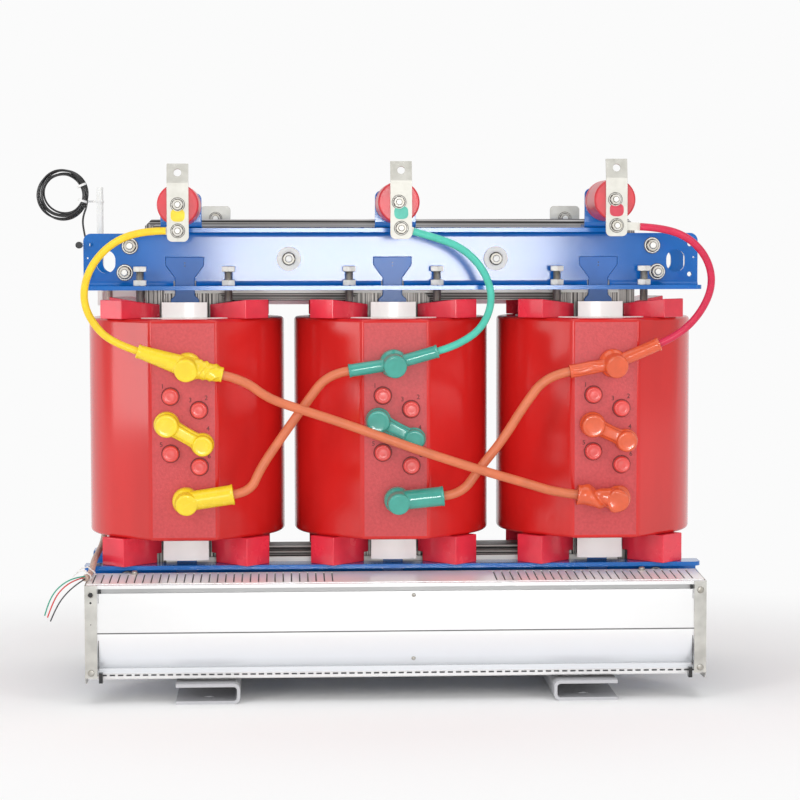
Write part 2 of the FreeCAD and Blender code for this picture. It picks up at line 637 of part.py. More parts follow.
def make_hv_coils():
    """Cast coils: round outside with a flat raised tap panel, its sides running tangent to the body."""
    panel_reach = math.hypot(PANEL_HALF_WIDTH, PANEL_Y)
    turn = math.atan2(PANEL_HALF_WIDTH, -PANEL_Y) + math.acos(HV_OUTER_RADIUS / panel_reach)
    touch_x, touch_y = HV_OUTER_RADIUS * math.sin(turn), -HV_OUTER_RADIUS * math.cos(turn)
    outline = [(-touch_x, touch_y), (-PANEL_HALF_WIDTH, PANEL_Y), (PANEL_HALF_WIDTH, PANEL_Y),
               (touch_x, touch_y)]
    foot, top = vec(0, 0, COIL_BOTTOM), vec(0, 0, COIL_TOP)
    body = fused([rod(HV_OUTER_RADIUS, foot, top), prism_xy(outline, COIL_BOTTOM, COIL_TOP)])
    coil = body.cut(rod(HV_BORE_RADIUS, foot, top))
    for name, x in zip(PHASE_NAMES, PHASES):
        export("hv_coil_" + name, [moved(coil, x, 0, 0)])


def make_lv_coils():
    foot, top = vec(0, 0, COIL_BOTTOM), vec(0, 0, COIL_TOP)
    coil = rod(LV_OUTER_RADIUS, foot, top).cut(rod(LV_BORE_RADIUS, foot, top))
    for name, x in zip(PHASE_NAMES, PHASES):
        export("lv_coil_" + name, [moved(coil, x, 0, 0)])


def make_barriers():
    """Insulating cylinders between the windings, with tongues that stand out between the pads."""
    def tube(low, high):
        foot, top = vec(0, 0, low), vec(0, 0, high)
        return rod(BARRIER_RADIUS, foot, top).cut(rod(BARRIER_RADIUS - BARRIER_WALL, foot, top))

    half = BARRIER_RADIUS * math.sin(math.radians(BARRIER_TONGUE_ANGLE))
    low, high = COIL_BOTTOM - BARRIER_TONGUE_RISE, COIL_TOP + BARRIER_TONGUE_RISE
    tongues = tube(low, high).common(box(-half, half, -BARRIER_RADIUS, BARRIER_RADIUS, low, high))
    barrier = fused([tube(COIL_BOTTOM, COIL_TOP), tongues])
    export("barrier_cylinders", [moved(barrier, x, 0, 0) for x in PHASES])


def around_phase(pad):
    """Four copies of a pad that points forward, turned to its places around each phase."""
    turns = (PAD_ANGLE, -PAD_ANGLE, 180 + PAD_ANGLE, 180 - PAD_ANGLE)
    copies = []
    for x in PHASES:
        for turn in turns:
            copy = pad.copy()
            copy.rotate(vec(0, 0, 0), vec(0, 0, 1), turn)
            copies.append(moved(copy, x, 0, 0))
    return copies


def make_coil_pads():
    """Resin blocks: the upper ones slope inward, the lower ones stand on the clamp and step over the yoke."""
    half = PAD_WIDTH / 2
    inner, outer = -PAD_INNER_RADIUS, -PAD_OUTER_RADIUS
    upper = prism_yz([(inner, COIL_TOP), (outer, COIL_TOP), (outer, PAD_TOP),
                      (inner, pad_top(PAD_INNER_RADIUS))], -half, half)
    seat = mirrored_z(CLAMP_WEB_BOTTOM)
    lower = prism_yz([(inner, COIL_BOTTOM), (outer, COIL_BOTTOM), (outer, seat), (-PAD_STEP_RADIUS, seat),
                      (-PAD_STEP_RADIUS, seat + PAD_STEP_RISE), (inner, seat + PAD_STEP_RISE)], -half, half)
    export("upper_coil_pads", around_phase(upper))
    export("lower_coil_pads", around_phase(lower))


def on_panel(phase_x, place, height=0.0):
    """A point on a coil's panel, or above it: place is measured from the middle of the panel."""
    return vec(phase_x + place[0], PANEL_Y - height, COIL_MIDDLE_Z + place[1])


def make_tap_fittings():
    plugs = []
    covers = []
    for x, (left, right) in zip(PHASES, LINK_PLACES):
        for place in TAP_PLUG_PLACES:
            plugs.append(cone(TAP_PLUG_RADIUS, TAP_PLUG_FACE_RADIUS, on_panel(x, place),
                              on_panel(x, place, TAP_PLUG_HEIGHT)))
        caps = [cone(radius, radius - LINK_TAPER, on_panel(x, place), on_panel(x, place, LINK_HEIGHT))
                for place, radius in ((left, LINK_LEFT_RADIUS), (right, LINK_RIGHT_RADIUS))]
        along = on_panel(x, right) - on_panel(x, left)
        aside = vec(along.z, 0, -along.x).normalize() * (LINK_WEB_WIDTH / 2)
        start, end = on_panel(x, left), on_panel(x, right)
        web = prism([start - aside, end - aside, end + aside, start + aside],
                    vec(0, LINK_WEB_DROP - LINK_HEIGHT, 0))
        covers.append(fused(caps + [web]))
    export("tap_plugs", plugs)
    export("tap_link_covers", covers)


def boot_mouth(phase_x, place):
    """Middle of the open end of a boot's tube."""
    return vec(phase_x + place[0], BOOT_TUBE_Y, COIL_MIDDLE_Z + place[1])


def make_boots():
    """Soft covers over the coil terminals: a domed cap with one or two tubes that take the leads."""
    for i, (name, x) in enumerate(zip(PHASE_NAMES, PHASES)):
        place = UPPER_BOOT_PLACES[i]
        middle = boot_mouth(x, place)
        cap = cone(UPPER_BOOT_RADIUS, UPPER_BOOT_FACE_RADIUS, on_panel(x, place),
                   on_panel(x, place, UPPER_BOOT_HEIGHT))
        tubes = [rod(UPPER_BOOT_TUBE_RADIUS, middle, boot_mouth(x, end))
                 for end in (UPPER_BOOT_LEFT_ENDS[i], UPPER_BOOT_RIGHT_ENDS[i])]
        export("upper_boot_" + name, [fused([cap] + tubes)])
        place = LOWER_BOOT_PLACES[i]
        cap = cone(LOWER_BOOT_RADIUS, LOWER_BOOT_FACE_RADIUS, on_panel(x, place),
                   on_panel(x, place, LOWER_BOOT_HEIGHT))
        tube = rod(LOWER_BOOT_TUBE_RADIUS, boot_mouth(x, place), boot_mouth(x, LOWER_BOOT_ENDS[i]))
        export("lower_boot_" + name, [fused([cap, tube])])


def make_hv_brackets():
    """Folded brackets on the upper front clamp, with rounded upper corners, that carry the insulators."""
    half = BRACKET_WIDTH / 2
    brackets = []
    for x, axis_z in TERMINAL_PLACES:
        back = BRACKET_FRONT_Y + BRACKET_THICKNESS
        sheet = folded_sheet(
            [vec(x - half, back + BRACKET_FOOT_DEPTH, CLAMP_WEB_TOP),
             vec(x - half, BRACKET_FRONT_Y, CLAMP_WEB_TOP),
             vec(x - half, BRACKET_FRONT_Y, axis_z + BRACKET_ABOVE_AXIS)],
            -BRACKET_THICKNESS, BRACKET_THICKNESS, vec(BRACKET_WIDTH, 0, 0))
        top = axis_z + BRACKET_ABOVE_AXIS
        brackets.append(rounded(sheet, BRACKET_CORNER_RADIUS,
                                lambda e: is_along(e, vec(0, 1, 0)) and is_near(e.CenterOfMass.z, top)))
    export("hv_brackets", brackets)


def make_insulators():
    """Turned resin posts with a chamfered front edge and a shallow groove near the bracket."""
    groove_end = INSULATOR_GROOVE_START + INSULATOR_GROOVE_WIDTH
    groove_radius = INSULATOR_RADIUS - INSULATOR_GROOVE_DEPTH
    profile_radius = [(0.0, 0.0), (INSULATOR_RADIUS, 0.0), (INSULATOR_RADIUS, INSULATOR_GROOVE_START),
                      (groove_radius, INSULATOR_GROOVE_START), (groove_radius, groove_end),
                      (INSULATOR_RADIUS, groove_end),
                      (INSULATOR_RADIUS, INSULATOR_LENGTH - INSULATOR_CHAMFER),
                      (INSULATOR_RADIUS - INSULATOR_CHAMFER, INSULATOR_LENGTH), (0.0, INSULATOR_LENGTH)]
    points = [vec(r, BRACKET_FRONT_Y - along, 0) for r, along in profile_radius]
    post = Part.Face(Part.makePolygon(points + points[:1])).revolve(vec(0, 0, 0), vec(0, 1, 0), 360)
    export("hv_insulators", [moved(post, x, 0, z) for x, z in TERMINAL_PLACES])


def make_hv_terminals():
    """Flat bars on the insulators, tilted back at the top, with the bolts and lugs that they carry."""
    back = BRACKET_FRONT_Y - INSULATOR_LENGTH
    front = back - HV_BAR_THICKNESS
    tilt = math.radians(HV_BAR_TILT)
    bars = []
    bolts = []
    lugs = []
    for i, (axis_x, axis_z) in enumerate(TERMINAL_PLACES):
        x = axis_x + TERMINAL_BAR_SHIFTS[i]
        bend_z = axis_z + HV_BAR_BEND_ABOVE_AXIS
        low_z = axis_z - HV_BAR_BELOW_AXIS
        left = x - HV_BAR_WIDTH / 2
        tip = vec(left, back + HV_BAR_TIP_LENGTH * math.sin(tilt), bend_z + HV_BAR_TIP_LENGTH * math.cos(tilt))
        bar = folded_sheet([tip, vec(left, back, bend_z), vec(left, back, low_z)],
                           -HV_BAR_THICKNESS, HV_BAR_THICKNESS, vec(HV_BAR_WIDTH, 0, 0))
        bar = rounded(bar, HV_BAR_CORNER_RADIUS,
                      lambda e: is_along(e, vec(0, 1, 0)) and is_near(e.CenterOfMass.z, low_z))
        up = vec(0, math.sin(tilt), math.cos(tilt))
        through = vec(0, -math.cos(tilt), math.sin(tilt))
        hole = vec(x, back, bend_z) + up * HV_BAR_HOLE_FROM_BEND
        reach = through * HV_BAR_HOLE_RADIUS
        holes = [rod(HV_BAR_HOLE_RADIUS, hole - reach, hole + reach)]
        lead_z = axis_z - LEAD_BOLT_BELOW_AXIS
        seat = vec(x, back + LUG_THICKNESS, lead_z)
        holes.append(rod(HV_BOLT_RADIUS + FIT_GAP, vec(x, back, lead_z), vec(x, front, lead_z)))
        bars.append(cut_by(bar, holes))
        lug = box(-LUG_HALF_WIDTH, HV_BAR_WIDTH / 2 + LUG_BEYOND_BAR[i], back, back + LUG_THICKNESS,
                  -LUG_HALF_WIDTH, LUG_HALF_WIDTH)
        lug.rotate(vec(0, 0, 0), vec(0, -1, 0), LUG_TURNS[i])
        lugs.append(moved(lug, x, 0, lead_z).cut(rod(HV_BOLT_RADIUS + FIT_GAP, vec(x, back, lead_z), seat)))
        head = vec(0, -HV_BOLT_HEAD_HEIGHT, 0)
        washer = vec(0, -HV_WASHER_THICKNESS, 0)
        lead_front = vec(x, front, lead_z)
        bolts.append(fused([rod(HV_BOLT_RADIUS, seat, lead_front),
                            rod(HV_WASHER_RADIUS, lead_front, lead_front + washer),
                            hex_prism(HV_BOLT_FLATS, lead_front + washer, lead_front + washer + head),
                            hex_prism(HV_BOLT_FLATS, seat, seat - head)]))
        post_front = vec(axis_x, front, axis_z)
        bolts.append(fused([rod(HV_WASHER_RADIUS, post_front, post_front + washer),
                            hex_prism(HV_BOLT_FLATS, post_front + washer, post_front + washer + head)]))
    export("hv_bars", bars)
    export("hv_bar_bolts", bolts)
    export("hv_lugs", lugs)


def cord_tube(name, points, diameter):
    """A cord as straight runs joined by arcs that are as large as the runs beside them allow."""
    corners = [vec(*p) for p in points]
    edges = []
    radii = []
    arcs = []
    for before, corner, after in zip(corners, corners[1:], corners[2:]):
        back, ahead = before - corner, after - corner
        half_turn = (math.pi - back.getAngle(ahead)) / 2
        reach = CORD_ARC_SHARE * min(back.Length, ahead.Length)
        radii.append(reach / math.tan(half_turn))
        back_unit, ahead_unit = back.normalize(), ahead.normalize()
        inward = (back_unit + ahead_unit).normalize()
        depth = radii[-1] * (1 / math.cos(half_turn) - 1)
        arcs.append((corner + back_unit * reach, corner + inward * depth, corner + ahead_unit * reach))
    here = corners[0]
    for start, middle, end in arcs:
        edges.append(Part.LineSegment(here, start).toShape())
        edges.append(Part.Arc(start, middle, end).toShape())
        here = end
    edges.append(Part.LineSegment(here, corners[-1]).toShape())
    path = Part.Wire(edges)
    section = Part.Wire(Part.makeCircle(diameter / 2, corners[0], corners[1] - corners[0]))
    tube = path.makePipeShell([section], True, True)
    expected = math.pi * diameter ** 2 / 4 * path.Length
    print(name, "length %.0f, radii" % path.Length, [round(r) for r in radii],
          "volume ratio %.4f" % (tube.Volume / expected))
    return tube


def make_line_leads():
    """Coloured leads from the terminals' lugs round and back to the upper boots."""
    for name in PHASE_NAMES:
        node = "line_lead_" + name
        export(node, [cord_tube(node, LINE_LEAD_ROUTES[name], LINE_LEAD_DIAMETER)])


def make_delta_leads():
    """Leads that join the coils' ends to one another, from an upper boot to a lower one."""
    for name in PHASE_NAMES:
        node = "delta_lead_" + name
        export(node, [cord_tube(node, DELTA_LEAD_ROUTES[name], DELTA_LEAD_DIAMETER)])


def make_lv_bars():
    """Start leads of the low-voltage coils: a tab up from the coil, a plate back, and an upright bar."""
    bars = []
    plate_top = LV_LEAD_Z + LV_BAR_THICKNESS
    for phase_x, bar_x, side in zip(PHASES, LV_BAR_X, LV_START_SIDES):
        tab = sorted((phase_x - side * LV_START_TAB_NEAR, phase_x + side * LV_START_TAB_FAR))
        left, right = bar_x - LV_BAR_WIDTH / 2, bar_x + LV_BAR_WIDTH / 2
        riser_back = LV_RISER_Y + LV_BAR_THICKNESS
        bar = fused([box(tab[0], tab[1], LV_TAB_Y, LV_TAB_Y + LV_BAR_THICKNESS, COIL_TOP, plate_top),
                     box(min(left + LV_PLATE_INSET, tab[0]), max(right - LV_PLATE_INSET, tab[1]),
                         LV_TAB_Y, riser_back, LV_LEAD_Z, plate_top),
                     box(left, right, LV_RISER_Y, riser_back, LV_LEAD_Z, LV_BAR_TOP)])
        bar = rounded(bar, LV_BAR_THICKNESS,
                      lambda e: is_along(e, vec(0, 1, 0)) and is_near(e.CenterOfMass.z, LV_BAR_TOP))
        hole_z = LV_BAR_TOP - TERMINAL_HOLE_DROP
        hole = rod(TERMINAL_HOLE_RADIUS, vec(bar_x, LV_RISER_Y, hole_z), vec(bar_x, riser_back, hole_z))
        bars.append(bar.cut(hole))
    export("lv_bars", bars)


def make_neutral_bar():
    """The bar that joins the finish leads, with an upright terminal at its left end."""
    plate_top = LV_LEAD_Z + LV_BAR_THICKNESS
    riser_right = NEUTRAL_LEFT + NEUTRAL_THICKNESS
    back = NEUTRAL_Y + NEUTRAL_THICKNESS
    last = PHASES[-1] + LV_FINISH_FAR
    pieces = [box(NEUTRAL_LEFT, last, NEUTRAL_Y, back, NEUTRAL_BOTTOM, NEUTRAL_TOP),
              box(NEUTRAL_LEFT, riser_right, back - NEUTRAL_RISER_WIDTH, back,
                  NEUTRAL_BOTTOM, NEUTRAL_RISER_TOP)]
    for phase_x, side in zip(PHASES, LV_START_SIDES):
        tab = sorted((phase_x - side * LV_FINISH_NEAR, phase_x - side * LV_FINISH_FAR))
        pieces.append(box(tab[0], tab[1], LV_TAB_Y, LV_TAB_Y + LV_BAR_THICKNESS, COIL_TOP, plate_top))
        pieces.append(box(tab[0], tab[1], LV_TAB_Y, NEUTRAL_Y, LV_LEAD_Z, plate_top))
    middle = back - NEUTRAL_RISER_WIDTH / 2
    hole = rod(TERMINAL_HOLE_RADIUS, vec(NEUTRAL_LEFT, middle, NEUTRAL_HOLE_Z),
               vec(riser_right, middle, NEUTRAL_HOLE_Z))
    export("neutral_bar", [fused(pieces).cut(hole)])


def make_lv_supports():
    """Insulating strips between the rear clamp's flange edges and the low-voltage bars."""
    supports = [box(x - LV_SUPPORT_WIDTH / 2, x + LV_SUPPORT_WIDTH / 2, CLAMP_FLANGE_REACH, LV_RISER_Y,
                    CLAMP_WEB_BOTTOM, CLAMP_WEB_TOP) for x in LV_BAR_X]
    riser_front = NEUTRAL_Y + NEUTRAL_THICKNESS - NEUTRAL_RISER_WIDTH
    supports.append(box(NEUTRAL_LEFT + FIT_GAP, NEUTRAL_LEFT + LV_SUPPORT_WIDTH,
                        CLAMP_FLANGE_REACH, riser_front, CLAMP_WEB_BOTTOM, NEUTRAL_TOP))
    export("lv_bar_supports", supports)


def make_sensor_cable():
    """A coil of thin cable tied to the neutral bar, its tail, and the gland where the tail ends."""
    def ring(gap):
        inner, outer = SENSOR_COIL_INNER - gap, SENSOR_COIL_OUTER + gap
        half, slope = SENSOR_COIL_DEPTH / 2 + gap, SENSOR_COIL_SLOPE
        profile = [(inner, half - slope), (inner + slope, half), (outer - slope, half), (outer, half - slope),
                   (outer, slope - half), (outer - slope, -half), (inner + slope, -half),
                   (inner, slope - half)]
        points = [vec(r, y, 0) for r, y in profile]
        turned = Part.Face(Part.makePolygon(points + points[:1])).revolve(vec(0, 0, 0), vec(0, 1, 0), 360)
        return moved(turned, *SENSOR_COIL_MIDDLE)

    export("sensor_cable_coil", [ring(0.0)])
    export("sensor_cable_tail", [cord_tube("sensor_cable_tail", SENSOR_TAIL_ROUTE, SENSOR_CABLE_DIAMETER)])
    end = vec(*SENSOR_TAIL_ROUTE[-1])
    export("sensor_gland", [rod(SENSOR_GLAND_RADIUS, end, end - vec(0, SENSOR_GLAND_LENGTH, 0))])
    ties = []
    y = SENSOR_COIL_MIDDLE[1]
    for z in SENSOR_TIE_Z:
        band = box(NEUTRAL_LEFT - SENSOR_TIE_LENGTH, NEUTRAL_LEFT,
                   y - SENSOR_TIE_DEPTH / 2, y + SENSOR_TIE_DEPTH / 2,
                   z - SENSOR_TIE_WIDTH / 2, z + SENSOR_TIE_WIDTH / 2)
        ties.append(band.cut(ring(FIT_GAP)))
    export("cable_ties", ties)


def make_fan_loom():
    """The sheathed fan cable down behind the left coil, and the loose wires past its end."""
    export("fan_loom", [cord_tube("fan_loom", FAN_LOOM_ROUTE, FAN_LOOM_DIAMETER)])
    export("fan_wires", [cord_tube("fan_wire", route, FAN_WIRE_DIAMETER) for route in FAN_WIRE_ROUTES])


def thin_profile(points, thickness, x0, x1):
    """A thin sheet along a YZ path, with square folds, between two X planes."""
    runs = [vec(0, b[0] - a[0], b[1] - a[1]).normalize() for a, b in zip(points, points[1:])]
    sides = [vec(1, 0, 0).cross(run) for run in runs]
    outer = [vec(x0, y, z) for y, z in points]
    inner = [outer[0] + sides[0] * thickness]
    for i in range(1, len(points) - 1):
        before, after = sides[i - 1], sides[i]
        inner.append(outer[i] + (before + after) * (thickness / (1 + before.dot(after))))
    inner.append(outer[-1] + sides[-1] * thickness)
    return prism(outer + inner[::-1], vec(x1 - x0, 0, 0))


def fan_top(y):
    """Height of the fan's sloping top at a depth."""
    share = (y - FAN_FRONT_Y) / (FAN_BACK_Y - FAN_FRONT_Y)
    return FAN_FRONT_TOP + share * (FAN_BACK_TOP - FAN_FRONT_TOP)


def fan_panel_y():
    """Depth of the cover's face, behind the end plates' flanges even where the panel leans forward."""
    return FAN_FRONT_Y + FAN_PLATE_THICKNESS + FAN_SEAM_LEAN + FIT_GAP


def fan_cover():
    """The front sheet: a grooved top edge, an upper panel, and a lower panel that curves in to a ledge."""
    panel_y = fan_panel_y()
    half = FAN_HALF_LENGTH - FAN_PLATE_THICKNESS - FIT_GAP
    groove_y = panel_y + FAN_GROOVE_DEPTH
    path = [(panel_y + FAN_LIP_RETURN, FAN_FRONT_TOP), (panel_y, FAN_FRONT_TOP), (panel_y, FAN_GROOVE_TOP),
            (groove_y, FAN_GROOVE_TOP), (groove_y, FAN_GROOVE_BOTTOM), (panel_y, FAN_GROOVE_BOTTOM)]
    for i in range(FAN_CURVE_STEPS + 1):
        share = i / FAN_CURVE_STEPS
        path.append((panel_y - FAN_SEAM_LEAN + FAN_CURVE_DEPTH * share ** 2,
                     FAN_SEAM_Z - share * (FAN_SEAM_Z - FAN_LEDGE_TOP)))
    ledge_y = path[-1][0] - FAN_LEDGE_DEPTH
    path += [(ledge_y, FAN_LEDGE_TOP), (ledge_y, FAN_LEDGE_BOTTOM),
             (ledge_y + FAN_LEDGE_DEPTH, FAN_LEDGE_BOTTOM), (ledge_y + FAN_LEDGE_DEPTH, FAN_COVER_BOTTOM)]
    return thin_profile(path, FAN_SHEET, -half, half)


def fan_scroll():
    """The back sheet, from the top down and round to a foot on the base rails."""
    half = FAN_HALF_LENGTH - FAN_PLATE_THICKNESS - FIT_GAP
    path = [(FAN_FOOT_Y, RAIL_HEIGHT), (FAN_BACK_Y - FAN_SCROLL_CORNER, RAIL_HEIGHT),
            (FAN_BACK_Y, RAIL_HEIGHT + FAN_SCROLL_CORNER),
            (FAN_BACK_Y, fan_top(FAN_BACK_Y - FAN_SHEET) - FAN_SHEET)]
    return thin_profile(path, FAN_SHEET, -half, half)


def fan_grille():
    """The outlet on top, cut into cells on both sides of the motor."""
    half = FAN_HALF_LENGTH - FAN_PLATE_THICKNESS - FIT_GAP
    front = fan_panel_y() + FAN_LIP_RETURN + FIT_GAP
    back = FAN_BACK_Y
    outline = [(front, fan_top(front) - FAN_SHEET), (back, fan_top(back) - FAN_SHEET), (back, fan_top(back)),
               (front, fan_top(front))]
    sheet = prism_yz(outline, -half, half)
    tools = []
    for i in range(GRILLE_CELLS):
        start = GRILLE_START + i * GRILLE_PITCH
        for x in (start, -start - GRILLE_CELL_LENGTH):
            tools.append(box(x, x + GRILLE_CELL_LENGTH, front + GRILLE_EDGE, back - GRILLE_EDGE,
                             FAN_SEAM_Z, FAN_BACK_TOP + GRILLE_EDGE))
    return cut_by(sheet, tools)


def fan_end_plate():
    """The right-hand end plate: a flange turned in at the front, and a boss that carries the shaft."""
    right = FAN_HALF_LENGTH
    outline = [(FAN_BACK_Y, RAIL_HEIGHT), (FAN_BACK_Y, FAN_BACK_TOP), (FAN_FRONT_Y, FAN_FRONT_TOP),
               (FAN_FRONT_Y, RAIL_HEIGHT + FAN_PLATE_CLIP), (FAN_FRONT_Y + FAN_PLATE_CLIP, RAIL_HEIGHT)]
    plate = prism_yz(outline, right - FAN_PLATE_THICKNESS, right)
    flange = box(right - FAN_PLATE_FLANGE, right, FAN_FRONT_Y, FAN_FRONT_Y + FAN_PLATE_THICKNESS,
                 RAIL_HEIGHT + FAN_PLATE_CLIP, FAN_FRONT_TOP)
    boss_start = vec(right - FAN_BOSS_LENGTH, FAN_AXIS_Y, FAN_AXIS_Z)
    boss_end = vec(right, FAN_AXIS_Y, FAN_AXIS_Z)
    boss = rod(FAN_BOSS_RADIUS, boss_start, boss_end)
    hole = rod(FAN_SHAFT_RADIUS + FAN_BEARING_GAP, boss_start, boss_end)
    return fused([plate, flange, boss]).cut(hole)


def fan_motor():
    """The middle motor, saddled on the back sheet, bored for the shaft."""
    start = vec(-FAN_MOTOR_HALF_LENGTH, FAN_AXIS_Y, FAN_AXIS_Z)
    end = vec(FAN_MOTOR_HALF_LENGTH, FAN_AXIS_Y, FAN_AXIS_Z)
    saddle = box(-FAN_SADDLE_HALF_LENGTH, FAN_SADDLE_HALF_LENGTH, FAN_AXIS_Y, FAN_BACK_Y - FAN_SHEET,
                 FAN_AXIS_Z - FAN_SADDLE_HALF_HEIGHT, FAN_AXIS_Z + FAN_SADDLE_HALF_HEIGHT)
    body = fused([rod(FAN_MOTOR_RADIUS, start, end), saddle])
    return body.cut(rod(FAN_SHAFT_RADIUS + FAN_BEARING_GAP, start, end))


def fan_rotor():
    """One shaft with an impeller on each side of the motor: bent blades round a pair of discs."""
    rim = IMPELLER_RADIUS - IMPELLER_RIM
    deep, thick = IMPELLER_BLADE_DEPTH, IMPELLER_BLADE_THICKNESS
    section = [(rim - deep, -IMPELLER_BLADE_BEND), (rim - deep / 2, 0.0), (rim, -IMPELLER_BLADE_BEND)]
    blade = prism_yz(section + [(y, z + thick) for y, z in section[::-1]], IMPELLER_START, IMPELLER_END)
    pieces = []
    for i in range(IMPELLER_BLADES):
        copy = blade.copy()
        copy.rotate(vec(0, 0, 0), vec(1, 0, 0), 360 * i / IMPELLER_BLADES)
        pieces.append(copy)
    for x in (IMPELLER_START, IMPELLER_END - IMPELLER_DISC_THICKNESS):
        pieces.append(rod(IMPELLER_RADIUS, vec(x, 0, 0), vec(x + IMPELLER_DISC_THICKNESS, 0, 0)))
    shaft_half = FAN_HALF_LENGTH - FAN_PLATE_THICKNESS / 2
    impeller = fused(pieces)
    shaft = rod(FAN_SHAFT_RADIUS, vec(-shaft_half, 0, 0), vec(shaft_half, 0, 0))
    other = impeller.mirror(vec(0, 0, 0), vec(1, 0, 0))
    return moved(fused([shaft, impeller, other]), 0, FAN_AXIS_Y, FAN_AXIS_Z)


def make_fans():
    """The front fan, and the same fan turned round on the low-voltage side."""
    for node, piece in (("fan_covers", fan_cover()), ("fan_scrolls", fan_scroll()),
                        ("fan_grilles", fan_grille()), ("fan_motors", fan_motor())):
        export(node, [piece, turned_front_to_back(piece)])
    right = fan_end_plate()
    left = right.mirror(vec(0, 0, 0), vec(1, 0, 0))
    export("fan_end_plates", [right, left, turned_front_to_back(right), turned_front_to_back(left)])
    rotor = fan_rotor()
    export("fan_rotor_front", [rotor])
    export("fan_rotor_rear", [turned_front_to_back(rotor)])


def make_base():
    """Two folded channels across the floor, open outward, and a folded pedestal under each clamp's end."""
    inner, outer = RAIL_X - RAIL_WIDTH / 2, RAIL_X + RAIL_WIDTH / 2
    path = [vec(outer, -RAIL_HALF_LENGTH, RAIL_HEIGHT), vec(inner, -RAIL_HALF_LENGTH, RAIL_HEIGHT),
            vec(inner, -RAIL_HALF_LENGTH, 0), vec(outer, -RAIL_HALF_LENGTH, 0)]
    rail = folded_sheet(path, -RAIL_THICKNESS, RAIL_THICKNESS, vec(0, 2 * RAIL_HALF_LENGTH, 0))
    holes = [rod(FLOOR_HOLE_RADIUS, vec(RAIL_X, y, 0), vec(RAIL_X, y, RAIL_THICKNESS))
             for y in (-FLOOR_HOLE_Y, FLOOR_HOLE_Y)]
    rail = cut_by(rail, holes)
    rails = [rail, rail.mirror(vec(0, 0, 0), vec(1, 0, 0))]
    clamp_low = mirrored_z(CLAMP_WEB_TOP)
    start = RAIL_X - PEDESTAL_LENGTH / 2
    path = [vec(start, -PEDESTAL_FRONT_Y, RAIL_HEIGHT), vec(start, -PEDESTAL_BACK_Y, RAIL_HEIGHT),
            vec(start, -PEDESTAL_BACK_Y, clamp_low), vec(start, -PEDESTAL_FRONT_Y, clamp_low)]
    pedestal = folded_sheet(path, PEDESTAL_THICKNESS, PEDESTAL_THICKNESS, vec(PEDESTAL_LENGTH, 0, 0))
    pair = [pedestal, pedestal.mirror(vec(0, 0, 0), vec(1, 0, 0))]
    export("base_rails", rails)
    export("clamp_pedestals", pair + [turned_front_to_back(piece) for piece in pair])


os.makedirs("parts", exist_ok=True)
make_core()
make_tie_plates()
make_clamps()
make_insulation_strips()
make_frame_bolts()
make_jack_bolts()
make_hv_coils()
make_lv_coils()
make_barriers()
make_coil_pads()
make_tap_fittings()
make_boots()
make_hv_brackets()
make_insulators()
make_hv_terminals()
make_line_leads()
make_delta_leads()
make_lv_bars()
make_neutral_bar()
make_lv_supports()
make_sensor_cable()
make_fan_loom()
make_fans()
make_base()
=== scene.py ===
import json
import math

import bmesh
import bpy
from mathutils import Matrix, Vector, noise
from mathutils.bvhtree import BVHTree

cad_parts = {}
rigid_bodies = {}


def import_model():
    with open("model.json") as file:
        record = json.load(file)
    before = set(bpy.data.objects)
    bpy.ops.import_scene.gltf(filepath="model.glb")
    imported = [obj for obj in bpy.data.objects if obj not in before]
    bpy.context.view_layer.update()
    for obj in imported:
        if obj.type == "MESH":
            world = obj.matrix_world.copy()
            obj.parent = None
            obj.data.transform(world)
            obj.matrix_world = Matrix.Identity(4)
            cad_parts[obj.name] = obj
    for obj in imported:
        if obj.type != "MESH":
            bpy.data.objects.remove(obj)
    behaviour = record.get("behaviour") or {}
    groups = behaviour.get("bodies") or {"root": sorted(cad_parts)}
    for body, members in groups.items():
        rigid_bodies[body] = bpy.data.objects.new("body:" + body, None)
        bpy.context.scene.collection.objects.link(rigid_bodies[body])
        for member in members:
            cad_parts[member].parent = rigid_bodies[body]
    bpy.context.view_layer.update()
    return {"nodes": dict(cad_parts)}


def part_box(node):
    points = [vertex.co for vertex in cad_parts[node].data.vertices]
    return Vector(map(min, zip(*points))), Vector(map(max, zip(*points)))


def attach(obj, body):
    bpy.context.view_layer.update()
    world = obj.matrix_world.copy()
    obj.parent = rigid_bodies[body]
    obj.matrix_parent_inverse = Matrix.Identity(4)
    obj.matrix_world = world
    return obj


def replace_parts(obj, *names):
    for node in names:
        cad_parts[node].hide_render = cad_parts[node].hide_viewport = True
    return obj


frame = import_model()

scene = bpy.context.scene
solids = frame["nodes"]

# Everything is in metres, in the frame of the solids: X along the coils, -Y the front, +Z up.
MM = 0.001
FRONT = Vector((0, -1, 0))
UP = Vector((0, 0, 1))
PHASES = {"a": -0.4, "b": 0.0, "c": 0.4}
COIL_LOW, COIL_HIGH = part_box("hv_coil_b")
COIL_BOTTOM, COIL_TOP = COIL_LOW[2], COIL_HIGH[2]
COIL_MIDDLE = 0.5075
COIL_RADIUS = COIL_HIGH[0]
BORE_RADIUS = 0.140
PANEL_Y = COIL_LOW[1]
PANEL_HALF = 0.0616
BOOT_TUBE_Y = -0.226
WEB_FACE_Y = 0.0866


def add_object(name, data):
    item = bpy.data.objects.new(name, data)
    scene.collection.objects.link(item)
    return item


def smoothed(mesh):
    mesh.polygons.foreach_set("use_smooth", [True] * len(mesh.polygons))


# Camera: it stands a little left of the middle, looks slightly down and is turned slightly right

CAMERA_PLACE = (-0.2124, -4.7102, 0.8609)
YAW, PITCH, ROLL = (math.radians(degrees) for degrees in (2.807, 3.766, -0.088))


